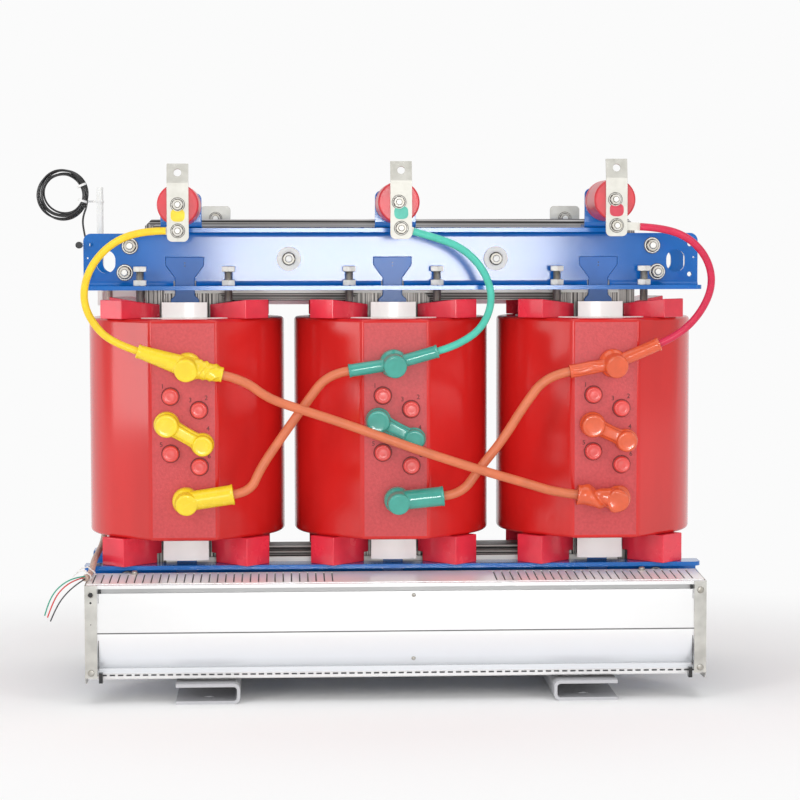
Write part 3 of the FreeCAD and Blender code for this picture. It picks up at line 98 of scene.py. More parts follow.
def place_camera():
    data = bpy.data.cameras.new("camera")
    data.lens = 107.6
    data.sensor_width = 36.0
    data.clip_end = 50.0
    level = math.cos(PITCH)
    forward = Vector((math.sin(YAW) * level, math.cos(YAW) * level, -math.sin(PITCH)))
    right = Vector((math.cos(YAW), -math.sin(YAW), 0.0))
    up = right.cross(forward)
    side = right * math.cos(ROLL) + up * math.sin(ROLL)
    top = up * math.cos(ROLL) - right * math.sin(ROLL)
    turn = Matrix((side, top, -forward)).transposed().to_4x4()
    camera = add_object("camera", data)
    camera.matrix_world = Matrix.Translation(CAMERA_PLACE) @ turn
    scene.camera = camera


# Shader nodes

def set_inputs(tree, node, inputs):
    """Link a node's inputs to the outputs that are given for them, or set them to the values."""
    for key, value in inputs.items():
        if isinstance(value, bpy.types.NodeSocket):
            tree.links.new(value, node.inputs[key])
        else:
            node.inputs[key].default_value = value


def add_node(tree, kind, output, inputs=None, **settings):
    """Add a shader node, set it up and return one of its outputs."""
    node = tree.nodes.new("ShaderNode" + kind)
    for key, value in settings.items():
        setattr(node, key, value)
    set_inputs(tree, node, inputs or {})
    return node.outputs[output]


def add_ramp(tree, value, stops):
    """A colour that follows a value through stops of (position, colour)."""
    color = add_node(tree, "ValToRGB", "Color", {"Fac": value})
    elements = color.node.color_ramp.elements
    for i, (position, stop_color) in enumerate(stops):
        element = elements[i] if i < 2 else elements.new(position)
        element.position = position
        element.color = (*stop_color, 1)
    return color


def new_material(name):
    """A material with one plain shader: the material, its node tree and the shader."""
    material = bpy.data.materials.new(name)
    material.use_nodes = True
    tree = material.node_tree
    tree.nodes.clear()
    output = tree.nodes.new("ShaderNodeOutputMaterial")
    shader = tree.nodes.new("ShaderNodeBsdfPrincipled")
    tree.links.new(shader.outputs["BSDF"], output.inputs["Surface"])
    return material, tree, shader


# Stage: a pale floor that curves up into a wall, a pale surround and soft lights

FLOOR_HALF, WALL_TOP = 9.0, 9.0
CURVE_START, CURVE_RADIUS, CURVE_STEPS = 2.6, 1.8, 24
PALE = (0.965, 0.965, 0.965)
SURROUND_AS_LIGHT, SURROUND_AS_SEEN = 0.58, 0.965
MIDDLE = (0.0, 0.0, 0.5)
LIGHTS = (
    # Name, place, aim, width, height and power
    ("key_left", (-3.2, -3.4, 2.2), MIDDLE, 1.4, 2.6, 48),
    ("key_right", (3.4, -3.2, 2.0), MIDDLE, 1.2, 2.6, 36),
    ("front_strip", (0.22, -5.4, 0.81), (0.22, 0.0, 0.81), 1.45, 0.65, 62),
    ("side_left", (-3.4, -0.3, 0.8), (-0.5, -0.1, 0.6), 1.0, 1.0, 9),
    ("top", (0.0, -0.6, 3.6), (0, 0.2, 0.3), 4.5, 3.0, 34),
)


def floor_material():
    """Pale paint near the object; further off, plain white as seen straight or in a mirror."""
    material, tree, shader = new_material("pale_floor")
    cloud = add_node(tree, "TexNoise", "Fac", {"Scale": 1.5})
    color = add_ramp(tree, cloud, ((0.0, (0.95, 0.95, 0.955)), (1.0, PALE)))
    set_inputs(tree, shader, {"Base Color": color, "Roughness": 0.8, "Specular IOR Level": 0.1})
    glow = add_node(tree, "Emission", "Emission", {"Color": (*PALE, 1), "Strength": 1.0})
    seen = add_node(tree, "LightPath", "Is Camera Ray")
    by_camera, rays = seen, seen.node.outputs
    for kind in ("Is Glossy Ray", "Is Transmission Ray"):
        seen = add_node(tree, "Math", "Value", {0: seen, 1: rays[kind]}, operation="MAXIMUM")
    place = add_node(tree, "TexCoord", "Object")
    place = add_node(tree, "Mapping", "Vector", {"Vector": place, "Scale": (1.0, 1.5, 1.0)})
    away = add_node(tree, "VectorMath", "Value", {0: place}, operation="LENGTH")
    fade = add_node(tree, "MapRange", "Result", {"Value": away, "From Min": 0.75, "From Max": 2.0},
                    interpolation_type="SMOOTHSTEP")
    share = add_node(tree, "Math", "Value", {0: seen, 1: fade}, operation="MULTIPLY")
    mix = add_node(tree, "MixShader", "Shader", {"Fac": share, 1: shader.outputs["BSDF"], 2: glow})
    # From behind, the camera looks through the wall
    back = add_node(tree, "NewGeometry", "Backfacing")
    back = add_node(tree, "Math", "Value", {0: back, 1: by_camera}, operation="MULTIPLY")
    clear = add_node(tree, "BsdfTransparent", "BSDF")
    mix = add_node(tree, "MixShader", "Shader", {"Fac": back, 1: mix, 2: clear})
    output = next(node for node in tree.nodes if node.type == "OUTPUT_MATERIAL")
    set_inputs(tree, output, {"Surface": mix})
    return material


def make_stage():
    """A floor that curves up into a wall behind, all of one pale finish, in a pale surround."""
    turns = [math.pi / 2 * (i + 1) / CURVE_STEPS for i in range(CURVE_STEPS)]
    line = [(-FLOOR_HALF, 0.0), (CURVE_START, 0.0)]
    line += [(CURVE_START + CURVE_RADIUS * math.sin(t), CURVE_RADIUS - CURVE_RADIUS * math.cos(t))
             for t in turns]
    line += [(CURVE_START + CURVE_RADIUS, WALL_TOP)]
    points = [(x, y, z) for y, z in line for x in (-FLOOR_HALF, FLOOR_HALF)]
    faces = [(2 * i, 2 * i + 1, 2 * i + 3, 2 * i + 2) for i in range(len(line) - 1)]
    mesh = bpy.data.meshes.new("floor")
    mesh.from_pydata(points, [], faces)
    smoothed(mesh)
    floor = add_object("floor", mesh)
    mesh.materials.append(floor_material())
    scene.world = bpy.data.worlds.new("surround")
    scene.world.use_nodes = True
    tree = scene.world.node_tree
    seen = add_node(tree, "LightPath", "Is Camera Ray")
    level = add_node(tree, "MapRange", "Result",
                     {"Value": seen, "To Min": SURROUND_AS_LIGHT, "To Max": SURROUND_AS_SEEN})
    set_inputs(tree, tree.nodes["Background"], {"Color": (1.0, 1.0, 1.0, 1), "Strength": level})
    scene.view_settings.view_transform = "Standard"


def make_lights():
    for name, place, aim, width, height, power in LIGHTS:
        data = bpy.data.lights.new(name, "AREA")
        data.shape = "RECTANGLE"
        data.size = width
        data.size_y = height
        data.energy = power
        light = add_object(name, data)
        light.location = place
        light.rotation_euler = (Vector(aim) - Vector(place)).to_track_quat("-Z", "Y").to_euler()


# Materials

def finish(name, color, roughness, metallic=0.0, coat=0.0, specular=0.5, spread=0.06, grain=12.0,
           bump=0.0, bump_grain=60.0, stretch=(1, 1, 1), mottle=None, rough_spread=0.05):
    """A painted, cast or moulded surface: cloudy colour, uneven gloss and a fine relief."""
    material, tree, shader = new_material(name)
    place = add_node(tree, "TexCoord", "Object")
    place = add_node(tree, "Mapping", "Vector", {"Vector": place, "Scale": stretch})
    cloud = add_node(tree, "TexNoise", "Fac", {"Vector": place, "Scale": grain, "Detail": 5.0})
    other = mottle or [c * (1 - 2 * spread) for c in color]
    low, high = max(roughness - rough_spread, 0.02), roughness + rough_spread
    gloss = add_node(tree, "MapRange", "Result", {"Value": cloud, "To Min": low, "To Max": high})
    set_inputs(tree, shader, {
        "Base Color": add_ramp(tree, cloud, ((0.3, other), (0.7, color))),
        "Roughness": gloss, "Metallic": metallic, "Specular IOR Level": specular,
        "Coat Weight": coat, "Coat Roughness": 0.08})
    if bump:
        relief = add_node(tree, "TexNoise", "Fac", {"Vector": place, "Scale": bump_grain, "Detail": 3.0})
        bumps = add_node(tree, "Bump", "Normal", {"Strength": bump, "Distance": 0.002, "Height": relief})
        set_inputs(tree, shader, {"Normal": bumps})
    return material


def banded(name, stops):
    """Silver sheet whose tone changes with height, as painted shade: pairs of height in metres and colour,
    from the lowest.
    """
    material, tree, shader = new_material(name)
    low, high = stops[0][0], stops[-1][0]
    place = add_node(tree, "TexCoord", "Object")
    height = add_node(tree, "SeparateXYZ", "Z", {"Vector": place})
    share = add_node(tree, "MapRange", "Result", {"Value": height, "From Min": low, "From Max": high})
    color = add_ramp(tree, share, [((level - low) / (high - low), tone) for level, tone in stops])
    set_inputs(tree, shader, {"Base Color": color, "Metallic": 0.45, "Roughness": 0.28})
    return material


def laminated(name, color, dark, across, low=0.38, high=0.58, metallic=0.5, specular=0.5, pitch=0.0035):
    """Thin stacked sheets: fine uneven stripes across a direction."""
    material, tree, shader = new_material(name)
    place = add_node(tree, "TexCoord", "Object")
    depth = add_node(tree, "VectorMath", "Value", {0: place, 1: [a / pitch for a in across]},
                     operation="DOT_PRODUCT")
    stripes = add_node(tree, "TexNoise", "Fac", {"W": depth, "Scale": 1.0, "Detail": 2.0},
                       noise_dimensions="1D")
    bumps = add_node(tree, "Bump", "Normal", {"Strength": 0.4, "Distance": 0.0008, "Height": stripes})
    set_inputs(tree, shader, {
        "Base Color": add_ramp(tree, stripes, ((low, dark), (high, color))), "Normal": bumps,
        "Metallic": metallic, "Specular IOR Level": specular, "Roughness": 0.42})
    return material


# Painted shade on the fan cover's lower curve: it darkens toward its foot, where it turns under; the dark
# band at its top is the seam
FAN_BANDS = ((0.066, (0.70, 0.72, 0.75)), (0.085, (0.82, 0.84, 0.88)), (0.110, (0.84, 0.85, 0.87)),
             (0.1322, (0.86, 0.86, 0.86)), (0.1330, (0.12, 0.12, 0.12)))
M = {
    # Cast resin, paint and boards
    "resin": finish("red_resin", (0.68, 0.017, 0.015), 0.19, specular=0.6, grain=7.0, spread=0.10,
                    bump=0.16, bump_grain=26.0, stretch=(1, 1, 0.25), rough_spread=0.08),
    "pad": finish("red_pad", (0.86, 0.030, 0.062), 0.26, coat=0.3, grain=18.0, spread=0.12, bump=0.2),
    "panel": finish("dull_red_panel", (0.60, 0.062, 0.068), 0.42, grain=190.0, mottle=(0.50, 0.044, 0.050),
                    bump=0.25, bump_grain=420.0),
    # Dark red ring round each plug's foot: painted shade of the groove the plug sits in
    "plug": finish("red_plug", (0.76, 0.075, 0.066), 0.30, coat=0.15, grain=60.0, spread=0.08),
    "ring": finish("painted_plug_groove_shade", (0.20, 0.010, 0.012), 0.5, grain=60.0, spread=0.15),
    "insulator": finish("red_insulator", (0.66, 0.030, 0.045), 0.36, coat=0.1, grain=25.0, spread=0.12,
                        bump=0.1),
    "blue": finish("blue_paint", (0.003, 0.138, 0.50), 0.135, coat=0.25, specular=0.43, grain=9.0,
                   spread=0.08, bump=0.02, bump_grain=9.0, rough_spread=0.03),
    "blue_light": finish("blue_paint_plates", (0.035, 0.165, 0.52), 0.36, coat=0.1, specular=0.32,
                         grain=14.0, spread=0.10, bump=0.04, bump_grain=30.0),
    "rail": finish("grey_rail_paint", (0.50, 0.50, 0.52), 0.45, spread=0.04),
    "neutral": finish("cream_paint", (0.88, 0.88, 0.85), 0.35, grain=20.0, spread=0.04),
    "cream": finish("cream_board", (0.93, 0.92, 0.86), 0.45, grain=40.0, spread=0.02, bump=0.04,
                    bump_grain=200.0),
    "barrier": finish("white_cylinder", (0.93, 0.925, 0.90), 0.30, coat=0.2, grain=16.0, spread=0.03),
    "winding": finish("foil_winding", (0.42, 0.10, 0.07), 0.4, grain=30.0, spread=0.2),
    # Metal
    "zinc": finish("zinc_plate", (0.46, 0.45, 0.43), 0.40, metallic=0.85, grain=90.0,
                   mottle=(0.34, 0.32, 0.27)),
    "zinc_light": finish("bright_zinc", (0.78, 0.77, 0.72), 0.38, metallic=0.35, grain=90.0, spread=0.08),
    "shade": finish("bolt_shade", (0.085, 0.070, 0.055), 0.6, grain=90.0, spread=0.2),
    "tin": finish("tinned_bar", (0.62, 0.61, 0.56), 0.46, metallic=0.5, grain=60.0, bump=0.06,
                  bump_grain=160.0, mottle=(0.52, 0.51, 0.46)),
    "aluminium": finish("silver_sheet", (0.80, 0.80, 0.80), 0.26, metallic=0.55, grain=6.0, spread=0.02,
                        stretch=(0.15, 1, 1)),
    "steel_plate": finish("bright_plate", (0.60, 0.59, 0.55), 0.30, metallic=0.9, grain=30.0, spread=0.14,
                          bump=0.08),
    # Darker grey on the fan cover's groove below the outlet: painted shade of the recess
    "cover_groove_shade": finish("cover_groove_shade", (0.42, 0.42, 0.42), 0.35, metallic=0.5, grain=8.0),
    "mirror_sheet": finish("outlet_sheet", (0.93, 0.93, 0.92), 0.30, metallic=0.20, grain=5.0, spread=0.02),
    "fan_curve_shade": banded("fan_curve_shade", FAN_BANDS),
    "yoke_sheets": laminated("yoke_sheets", (0.66, 0.64, 0.61), (0.012, 0.011, 0.011), (0.004, 0.34, 1.0),
                             low=0.44, high=0.62, metallic=0.0, specular=0.12),
    "limb_sheets": laminated("limb_sheets", (0.46, 0.43, 0.40), (0.03, 0.026, 0.024), (1.0, 0.6, 0.0)),
    # Marks and dark places
    "patch_a": finish("yellow_patch", (0.90, 0.70, 0.04), 0.5, grain=90.0, spread=0.1),
    "patch_b": finish("green_patch", (0.12, 0.56, 0.44), 0.5, grain=90.0, spread=0.1),
    "patch_c": finish("crimson_patch", (0.70, 0.05, 0.09), 0.5, grain=90.0, spread=0.1),
    # Dark paint of the fan motors; on the fan's foot it is painted shade of the slots
    "dark": finish("motor_dark_and_slot_shade", (0.05, 0.05, 0.055), 0.6, grain=20.0, spread=0.2),
    "ink": finish("dark_print", (0.10, 0.02, 0.02), 0.6, grain=300.0, spread=0.3),
    # Silicone, cables and ties
    "yellow": finish("yellow_silicone", (0.88, 0.64, 0.020), 0.27, coat=0.25, grain=50.0, spread=0.05,
                     bump=0.05),
    "green": finish("green_silicone", (0.050, 0.36, 0.29), 0.18, coat=0.5, grain=50.0, spread=0.08,
                    bump=0.05),
    "red_orange": finish("red_orange_silicone", (0.74, 0.108, 0.033), 0.20, coat=0.4, grain=50.0,
                         spread=0.08, bump=0.05),
    "lead_yellow": finish("yellow_lead", (0.92, 0.63, 0.02), 0.34, grain=70.0, bump=0.15),
    "lead_green": finish("green_lead", (0.075, 0.55, 0.42), 0.36, grain=70.0, bump=0.15),
    "lead_red": finish("crimson_lead", (0.66, 0.016, 0.070), 0.36, grain=70.0, spread=0.08, bump=0.15),
    "lead_orange": finish("orange_lead", (0.69, 0.175, 0.072), 0.40, grain=40.0, spread=0.08, bump=0.12),
    # Black of the cables, the gland and the rubber; at the fan's end plates it is painted shade of holes and
    # gaps
    "black": finish("black_sheath_and_painted_shade", (0.010, 0.010, 0.011), 0.25, coat=0.3, grain=90.0, spread=0.2),
    "nylon": finish("white_nylon", (0.85, 0.85, 0.83), 0.4, grain=60.0, spread=0.04),
    "beige": finish("beige_sheath", (0.62, 0.46, 0.38), 0.6, grain=300.0, spread=0.2, bump=0.3,
                    bump_grain=700.0),
    "wire_red": finish("red_wire", (0.70, 0.03, 0.03), 0.4, grain=60.0, spread=0.05),
    "wire_green": finish("green_wire", (0.03, 0.34, 0.22), 0.4, grain=60.0, spread=0.05),
    "wire_black": finish("black_wire", (0.04, 0.04, 0.045), 0.4, grain=60.0, spread=0.1),
}


# Mesh helpers

def add_mesh(name, points, faces, *materials, smooth=38.0, slots=None):
    mesh = bpy.data.meshes.new(name)
    mesh.from_pydata([tuple(p) for p in points], [], faces)
    mesh.validate()
    for material in materials:
        mesh.materials.append(material)
    if slots:
        mesh.polygons.foreach_set("material_index", slots)
    smoothed(mesh)
    mesh.set_sharp_from_angle(angle=math.radians(smooth))
    mesh.update()
    return add_object(name, mesh)


def circle(middle, across, other, radius, count):
    """Points of a circle in the plane of two directions."""
    angles = [2 * math.pi * i / count for i in range(count)]
    return [middle + (across * math.cos(t) + other * math.sin(t)) * radius for t in angles]


def in_mm(*pairs):
    """A profile of (radius, height) pairs that are given in millimetres."""
    return [(radius * MM, height * MM) for radius, height in pairs]


class Shell:
    """A gathering of closed shells that become one mesh."""

    def __init__(self):
        self.points = []
        self.faces = []

    def rings(self, loops, joined=False):
        """Skin equal rings of points in order; the two end rings are closed, or joined to each other."""
        count = len(loops[0])
        starts = [len(self.points) + row * count for row in range(len(loops))]
        for loop in loops:
            self.points += [Vector(p) for p in loop]
        for low, high in zip(starts, starts[1:] + starts[:1] if joined else starts[1:]):
            for i in range(count):
                j = (i + 1) % count
                self.faces.append((low + i, low + j, high + j, high + i))
        if not joined:
            self.faces.append(tuple(starts[0] + i for i in reversed(range(count))))
            self.faces.append(tuple(starts[-1] + i for i in range(count)))

    def turned(self, profile, foot, axis, count=48):
        """Lathe a profile of (radius, height) about an axis from its foot."""
        foot, axis = Vector(foot), Vector(axis).normalized()
        across = axis.orthogonal().normalized()
        other = axis.cross(across)
        self.rings([circle(foot + axis * height, across, other, radius, count) for radius, height in profile])

    def block(self, low, high):
        """A box between two corners."""
        (x0, y0, z0), (x1, y1, z1) = low, high
        self.rings([[(x0, y0, z), (x1, y0, z), (x1, y1, z), (x0, y1, z)] for z in (z0, z1)])

    def tube(self, path, radii, count):
        """Skin circles along a path; the circles turn with it."""
        loops = []
        across = None
        for i, point in enumerate(path):
            along = (path[min(i + 1, len(path) - 1)] - path[max(i - 1, 0)]).normalized()
            if across is None:
                across = along.orthogonal().normalized()
            across = (across - along * across.dot(along)).normalized()
            loops.append(circle(point, across, along.cross(across), radii[i], count))
        self.rings(loops)

    def made(self, name, *materials, smooth=38.0):
        return add_mesh(name, self.points, self.faces, *materials, smooth=smooth)


def mesh_of(item):
    """The mesh that an object shows, with its modifiers and its thickness."""
    bpy.context.view_layer.update()
    return bpy.data.meshes.new_from_object(item.evaluated_get(bpy.context.evaluated_depsgraph_get()))


def modified(item, *modifiers):
    """Put an object's mesh through modifiers, given as (kind, settings)."""
    for kind, settings in modifiers:
        modifier = item.modifiers.new(kind.lower(), kind)
        for key, value in settings.items():
            setattr(modifier, key, value)
    old, ready = item.data, mesh_of(item)
    item.modifiers.clear()
    item.data = ready
    bpy.data.meshes.remove(old)


def cleaned(source, target, flat=0.0):
    """Copy a mesh into another with doubled points joined, and flat faces too where an angle is given."""
    work = bmesh.new()
    work.from_mesh(source)
    bmesh.ops.remove_doubles(work, verts=work.verts, dist=1e-6)
    if flat:
        bmesh.ops.dissolve_limit(work, angle_limit=flat, verts=work.verts, edges=work.edges,
                                 delimit={"MATERIAL"})
    work.to_mesh(target)
    work.free()


def melted(item, smoothing, ratio=None):
    """Join a mesh's overlapping shells into one soft skin, made lighter where a ratio is given."""
    steps = [("REMESH", dict(mode="VOXEL", voxel_size=0.0012, use_smooth_shade=True)),
             ("SMOOTH", dict(factor=0.5, iterations=smoothing))]
    if ratio:
        steps.append(("DECIMATE", dict(ratio=ratio)))
    modified(item, *steps)
    smoothed(item.data)
    return item


def cut_out(item, tool):
    """Take one mesh out of another and remove the tool."""
    modified(item, ("BOOLEAN", dict(operation="DIFFERENCE", solver="EXACT", object=tool)))
    bpy.data.objects.remove(tool)


def join_all(name, items):
    """Gather several meshes into one object; each keeps its shells and its materials."""
    points, faces, slots, materials = [], [], [], []
    for item in items:
        start = len(points)
        materials += [m for m in item.data.materials if m not in materials]
        own = [materials.index(m) for m in item.data.materials]
        points += [item.matrix_world @ v.co for v in item.data.vertices]
        for face in item.data.polygons:
            faces.append(tuple(start + v for v in face.vertices))
            slots.append(own[face.material_index])
        bpy.data.objects.remove(item)
    return add_mesh(name, points, faces, *materials, smooth=50.0, slots=slots)


def on_panel(phase, place, height=0.0):
    """Point in front of a phase's tap panel, from (across, up) in millimetres about the coil's middle."""
    return Vector((PHASES[phase] + place[0] * MM, PANEL_Y - height * MM, COIL_MIDDLE + place[1] * MM))


# Coils: cast bodies with rounded rims and a matte tap panel

COIL_STEPS = 120
COIL_ROUNDING = 0.007


def coil_outline(inset):
    """The coil's outside in plan, drawn in by an inset: a circle whose sides run straight to the panel."""
    reach = math.hypot(PANEL_HALF, PANEL_Y)
    turn = math.atan2(PANEL_HALF, -PANEL_Y) + math.acos(COIL_RADIUS / reach)
    radius = COIL_RADIUS - inset
    points = []
    for i in range(COIL_STEPS):
        angle = -math.pi / 2 + turn + (2 * math.pi - 2 * turn) * i / (COIL_STEPS - 1)
        points.append((radius * math.cos(angle), radius * math.sin(angle)))
    corner = PANEL_HALF - inset * 0.7
    start = Vector((-math.sin(turn), -math.cos(turn))) * radius
    left = [start.lerp(Vector((-corner, PANEL_Y + inset)), share) for share in (0.45, 0.9, 0.985)]
    half_face = [corner / 3, corner - 0.012, corner - 0.0025]
    face = [Vector((x, PANEL_Y + inset)) for x in [-x for x in reversed(half_face)] + half_face]
    right = [Vector((-p.x, p.y)) for p in reversed(left)]
    return points + [tuple(p) for p in left + face + right]


def make_coils():
    rim = []
    for i in range(5):
        angle = math.pi / 2 * i / 4
        rim.append((COIL_ROUNDING * (1 - math.cos(angle)), COIL_ROUNDING * (1 - math.sin(angle))))
    levels = [(inset, COIL_BOTTOM + rise) for inset, rise in reversed(rim)]
    levels.append((0.0, COIL_MIDDLE))
    levels += [(inset, COIL_TOP - rise) for inset, rise in rim]
    for phase, x in PHASES.items():
        shell = Shell()
        loops = [[(x + px, py, z) for px, py in coil_outline(inset)] for inset, z in levels]
        angles = [math.atan2(p[1], p[0] - x) for p in loops[0]]
        for z in (COIL_TOP, COIL_BOTTOM):
            loops.append([(x + BORE_RADIUS * math.cos(a), BORE_RADIUS * math.sin(a), z) for a in angles])
        shell.rings(loops, joined=True)
        item = shell.made("coil_" + phase, M["resin"], M["panel"])
        for face in item.data.polygons:
            middle = face.center
            if face.normal.y < -0.99 and abs(middle.x - x) < PANEL_HALF - 0.003:
                if COIL_BOTTOM + COIL_ROUNDING < middle.z < COIL_TOP - COIL_ROUNDING:
                    face.material_index = 1
        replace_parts(item, "hv_coil_" + phase)


# Tap fittings: places are millimetres about the coil's middle, tilts lean a cap's axis

BOOT_FINISHES = {"a": "yellow", "b": "green", "c": "red_orange"}
PLUG_PLACES = ((-24.0, 65.0), (29.5, 39.0), (-24.3, -43.0), (30.0, -68.0))
PLUG_PROFILE = in_mm((15.4, 0), (15.6, 0.8), (15.4, 9.5), (14.7, 12.0), (13.2, 13.3),
                     (11.4, 13.6), (10.6, 13.2), (6.0, 13.3), (1.5, 13.5))
# A thin dark ring round each plug's foot, painted shade of the groove round the plug
PLUG_GROOVE_SHADE = in_mm((17.6, 0.02), (17.4, 0.7), (16.2, 0.9))
LINK_PLACES = {"a": ((-31.0, 13.0), (36.0, -25.0)), "b": ((-33.0, 19.0), (35.0, -16.0)),
               "c": ((-27.0, 9.0), (37.0, -21.0))}
LINK_TILTS = {"a": (2.0, -4.0), "b": (-2.0, -3.0), "c": (-1.5, -3.0)}
LINK_RADII = (24.4, 22.0)
# Half of the web's section between a link cover's caps, as shares of its half width and its depth
LINK_SECTION = ((1.0, 0.0), (1.0, 0.60), (0.93, 0.68), (0.70, 0.76), (0.66, 0.94), (0.5, 1.0))


def make_plugs():
    plugs, groove_shades = Shell(), Shell()
    for phase in PHASES:
        for place in PLUG_PLACES:
            plugs.turned(PLUG_PROFILE, on_panel(phase, place), FRONT, 40)
            # The dark ring is painted shade of the groove round the plug
            groove_shades.turned(PLUG_GROOVE_SHADE, on_panel(phase, place), FRONT, 40)
    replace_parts(plugs.made("tap_plugs_cast", M["plug"], smooth=50.0), "tap_plugs")
    groove_shades.made("tap_plug_groove_shades", M["ring"], smooth=50.0)


def link_web(start, end):
    """The web between a link cover's two caps: a section carried along, with a slight waist."""
    along = (end - start).normalized()
    across = Vector((along.z, 0, -along.x))
    section = [(-1.0, 0.0)] + list(LINK_SECTION) + [(-u, v) for u, v in reversed(LINK_SECTION[1:])]
    loops = []
    for step in range(11):
        share = step / 10
        point = start.lerp(end, share)
        bend = math.sin(math.pi * share)
        half = (17.5 - 1.5 * share) * MM * (1.0 - 0.13 * bend)
        deep = 32.5 * MM * (1.0 - 0.03 * bend)
        loops.append([point + across * (half * u) + FRONT * (0.4 * MM + deep * v) for u, v in section])
    return loops


def make_link_covers():
    pieces = []
    for phase, places in LINK_PLACES.items():
        shell = Shell()
        tilt = LINK_TILTS[phase]
        lean = Vector((tilt[0] * 0.012, -1, tilt[1] * 0.012))
        for place, radius in zip(places, LINK_RADII):
            base = on_panel(phase, place, 0.3)
            shell.turned(in_mm((radius - 0.6, 0), (radius, 1.2), (radius, 16), (radius - 0.8, 21),
                               (radius - 4, 24)), base, FRONT)
            cap = radius - 2.4
            shell.turned(in_mm((cap - 1.0, 2), (cap, 19), (cap, 33.0), (cap - 0.8, 36.2), (cap - 2.6, 38.2),
                               (cap - 5.0, 38.5), (cap - 8, 37.8), (3, 37.6)), base, lean)
        shell.rings(link_web(*(on_panel(phase, place) for place in places)))
        pieces.append(melted(shell.made("link_cover_" + phase, M[BOOT_FINISHES[phase]]), 3, 0.45))
    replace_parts(join_all("link_covers_soft", pieces), "tap_link_covers")


# Cords: each is one smooth spline through the same route as its solid, in millimetres

LINE_ROUTES = {
    "a": [(-426.1, -288.5, 883), (-474, -288.5, 883), (-532, -280, 858), (-573, -267, 808), (-583, -253, 749),
          (-556, -237, 697), (-517.7, -226, 670.7), (-484, -226, 659.5)],
    "b": [(29.3, -288.5, 881.5), (69.8, -288.5, 870.7), (122, -280, 851), (163, -268, 810), (181, -254, 757),
          (164, -238, 702), (115.6, -226, 667.4), (79, -226, 657)],
    "c": [(450.6, -288.5, 889.7), (498.5, -288.5, 887.2), (550, -279, 866), (584, -267, 826),
          (594, -254, 778), (574, -239, 727), (534.8, -226, 685.3), (498, -226, 669.5)],
}
LINE_FINISHES = {"a": "lead_yellow", "b": "lead_green", "c": "lead_red"}
DELTA_ROUTES = {
    "a": [(-325, -226, 613.5), (-286, -226, 604.6), (-240, -240, 570), (-185, -250, 552), (-95, -259, 523),
          (30, -262, 477), (150, -257, 437), (245, -240, 408), (301, -226, 389.3), (343, -226, 384.5)],
    "b": [(-89, -226, 620.5), (-129, -226, 614.4), (-168, -223, 562), (-216, -221, 495), (-256, -223, 437),
          (-274, -226, 393.7), (-305.9, -226, 389)],
    "c": [(328, -226, 617.5), (284, -226, 609.6), (243, -223, 555), (203, -221, 490), (157, -223, 434),
          (124, -226, 387), (90, -226, 383.5)],
}
LOOM_ROUTE = [(-561, 142, 771), (-561, 142, 690), (-559, 152, 570), (-563, 151, 450), (-565, 143, 345),
              (-573, 95, 268), (-575, 10, 257), (-574, -75, 258), (-575, -147, 254.5), (-577, -195, 235.2),
              (-585, -232, 233.2)]
WIRE_ROUTES = {
    "wire_red": [(-588, -232, 234.5), (-606, -250, 232), (-630, -256, 214), (-644, -259, 190),
                 (-653, -260, 164)],
    "wire_green": [(-585.5, -233, 236.8), (-604, -252, 238), (-632, -261, 222), (-650, -264, 196),
                   (-658, -262, 168)],
    "wire_black": [(-585.5, -233, 231.8), (-600, -256, 225), (-621, -263, 206), (-636, -266, 184),
                   (-647, -268, 158)],
}
SENSOR_TAIL = [(-601, -84, 857), (-601, -32, 857), (-602.5, 20, 856), (-601.5, 70, 858), (-604, 120, 861),
               (-611, 150, 880), (-616, 158, 909), (-604.7, 160, 940)]
LINE_DIAMETER, DELTA_DIAMETER, LOOM_DIAMETER = 0.014, 0.0175, 0.012
SENSOR_DIAMETER, WIRE_DIAMETER = 0.004, 0.0025

# The sensor cable's spare turns, in millimetres: each has its own radius and place
TURNS, POINTS_PER_TURN = 6.55, 14
TURNS_START = math.radians(-19.0)
TURNS_MIDDLE = (-654.0, 160.0, 959.0)
TURN_RADII = (48.0, 52.0, 44.0, 38.5, 47.0, 51.0, 41.5, 44.0)
TURN_SHIFTS = (
    (-1.0, -2.0, 1.0, 3.0, -1.5, -0.5, 2.0, 1.0),
    (-3.0, 1.5, 5.0, -1.0, -6.0, 3.5, -3.5, 6.5),
    (0.0, 1.0, -1.5, 0.5, 2.0, -1.0, 1.5, 0.0),
)


def cord_curve(name, route, diameter, material, roundness=7):
    """A round cord along one NURBS spline; the route is in millimetres."""
    data = bpy.data.curves.new(name, "CURVE")
    data.dimensions = "3D"
    data.resolution_u = 12
    data.bevel_depth = diameter / 2
    data.bevel_resolution = roundness
    data.use_fill_caps = True
    spline = data.splines.new("NURBS")
    spline.points.add(len(route) - 1)
    for point, place in zip(spline.points, route):
        point.co = (place[0] * MM, place[1] * MM, place[2] * MM, 1.0)
    spline.order_u = 3
    spline.use_endpoint_u = True
    spline.resolution_u = 12
    data.materials.append(material)
    return add_object(name, data)


def length_of(item):
    """Length along a cord's own line, read from its spline without its thickness."""
    data = item.data.copy()
    data.bevel_depth = 0.0
    probe = add_object("probe", data)
    mesh = mesh_of(probe)
    points = [v.co.copy() for v in mesh.vertices]
    bpy.data.objects.remove(probe)
    bpy.data.curves.remove(data)
    bpy.data.meshes.remove(mesh)
    return sum((b - a).length for a, b in zip(points, points[1:]))


def between_turns(values, turn):
    """A value that passes smoothly from one turn's to the next."""
    first = min(int(turn), len(values) - 2)
    share = turn - first
    share = share * share * (3 - 2 * share)
    return values[first] * (1 - share) + values[first + 1] * share


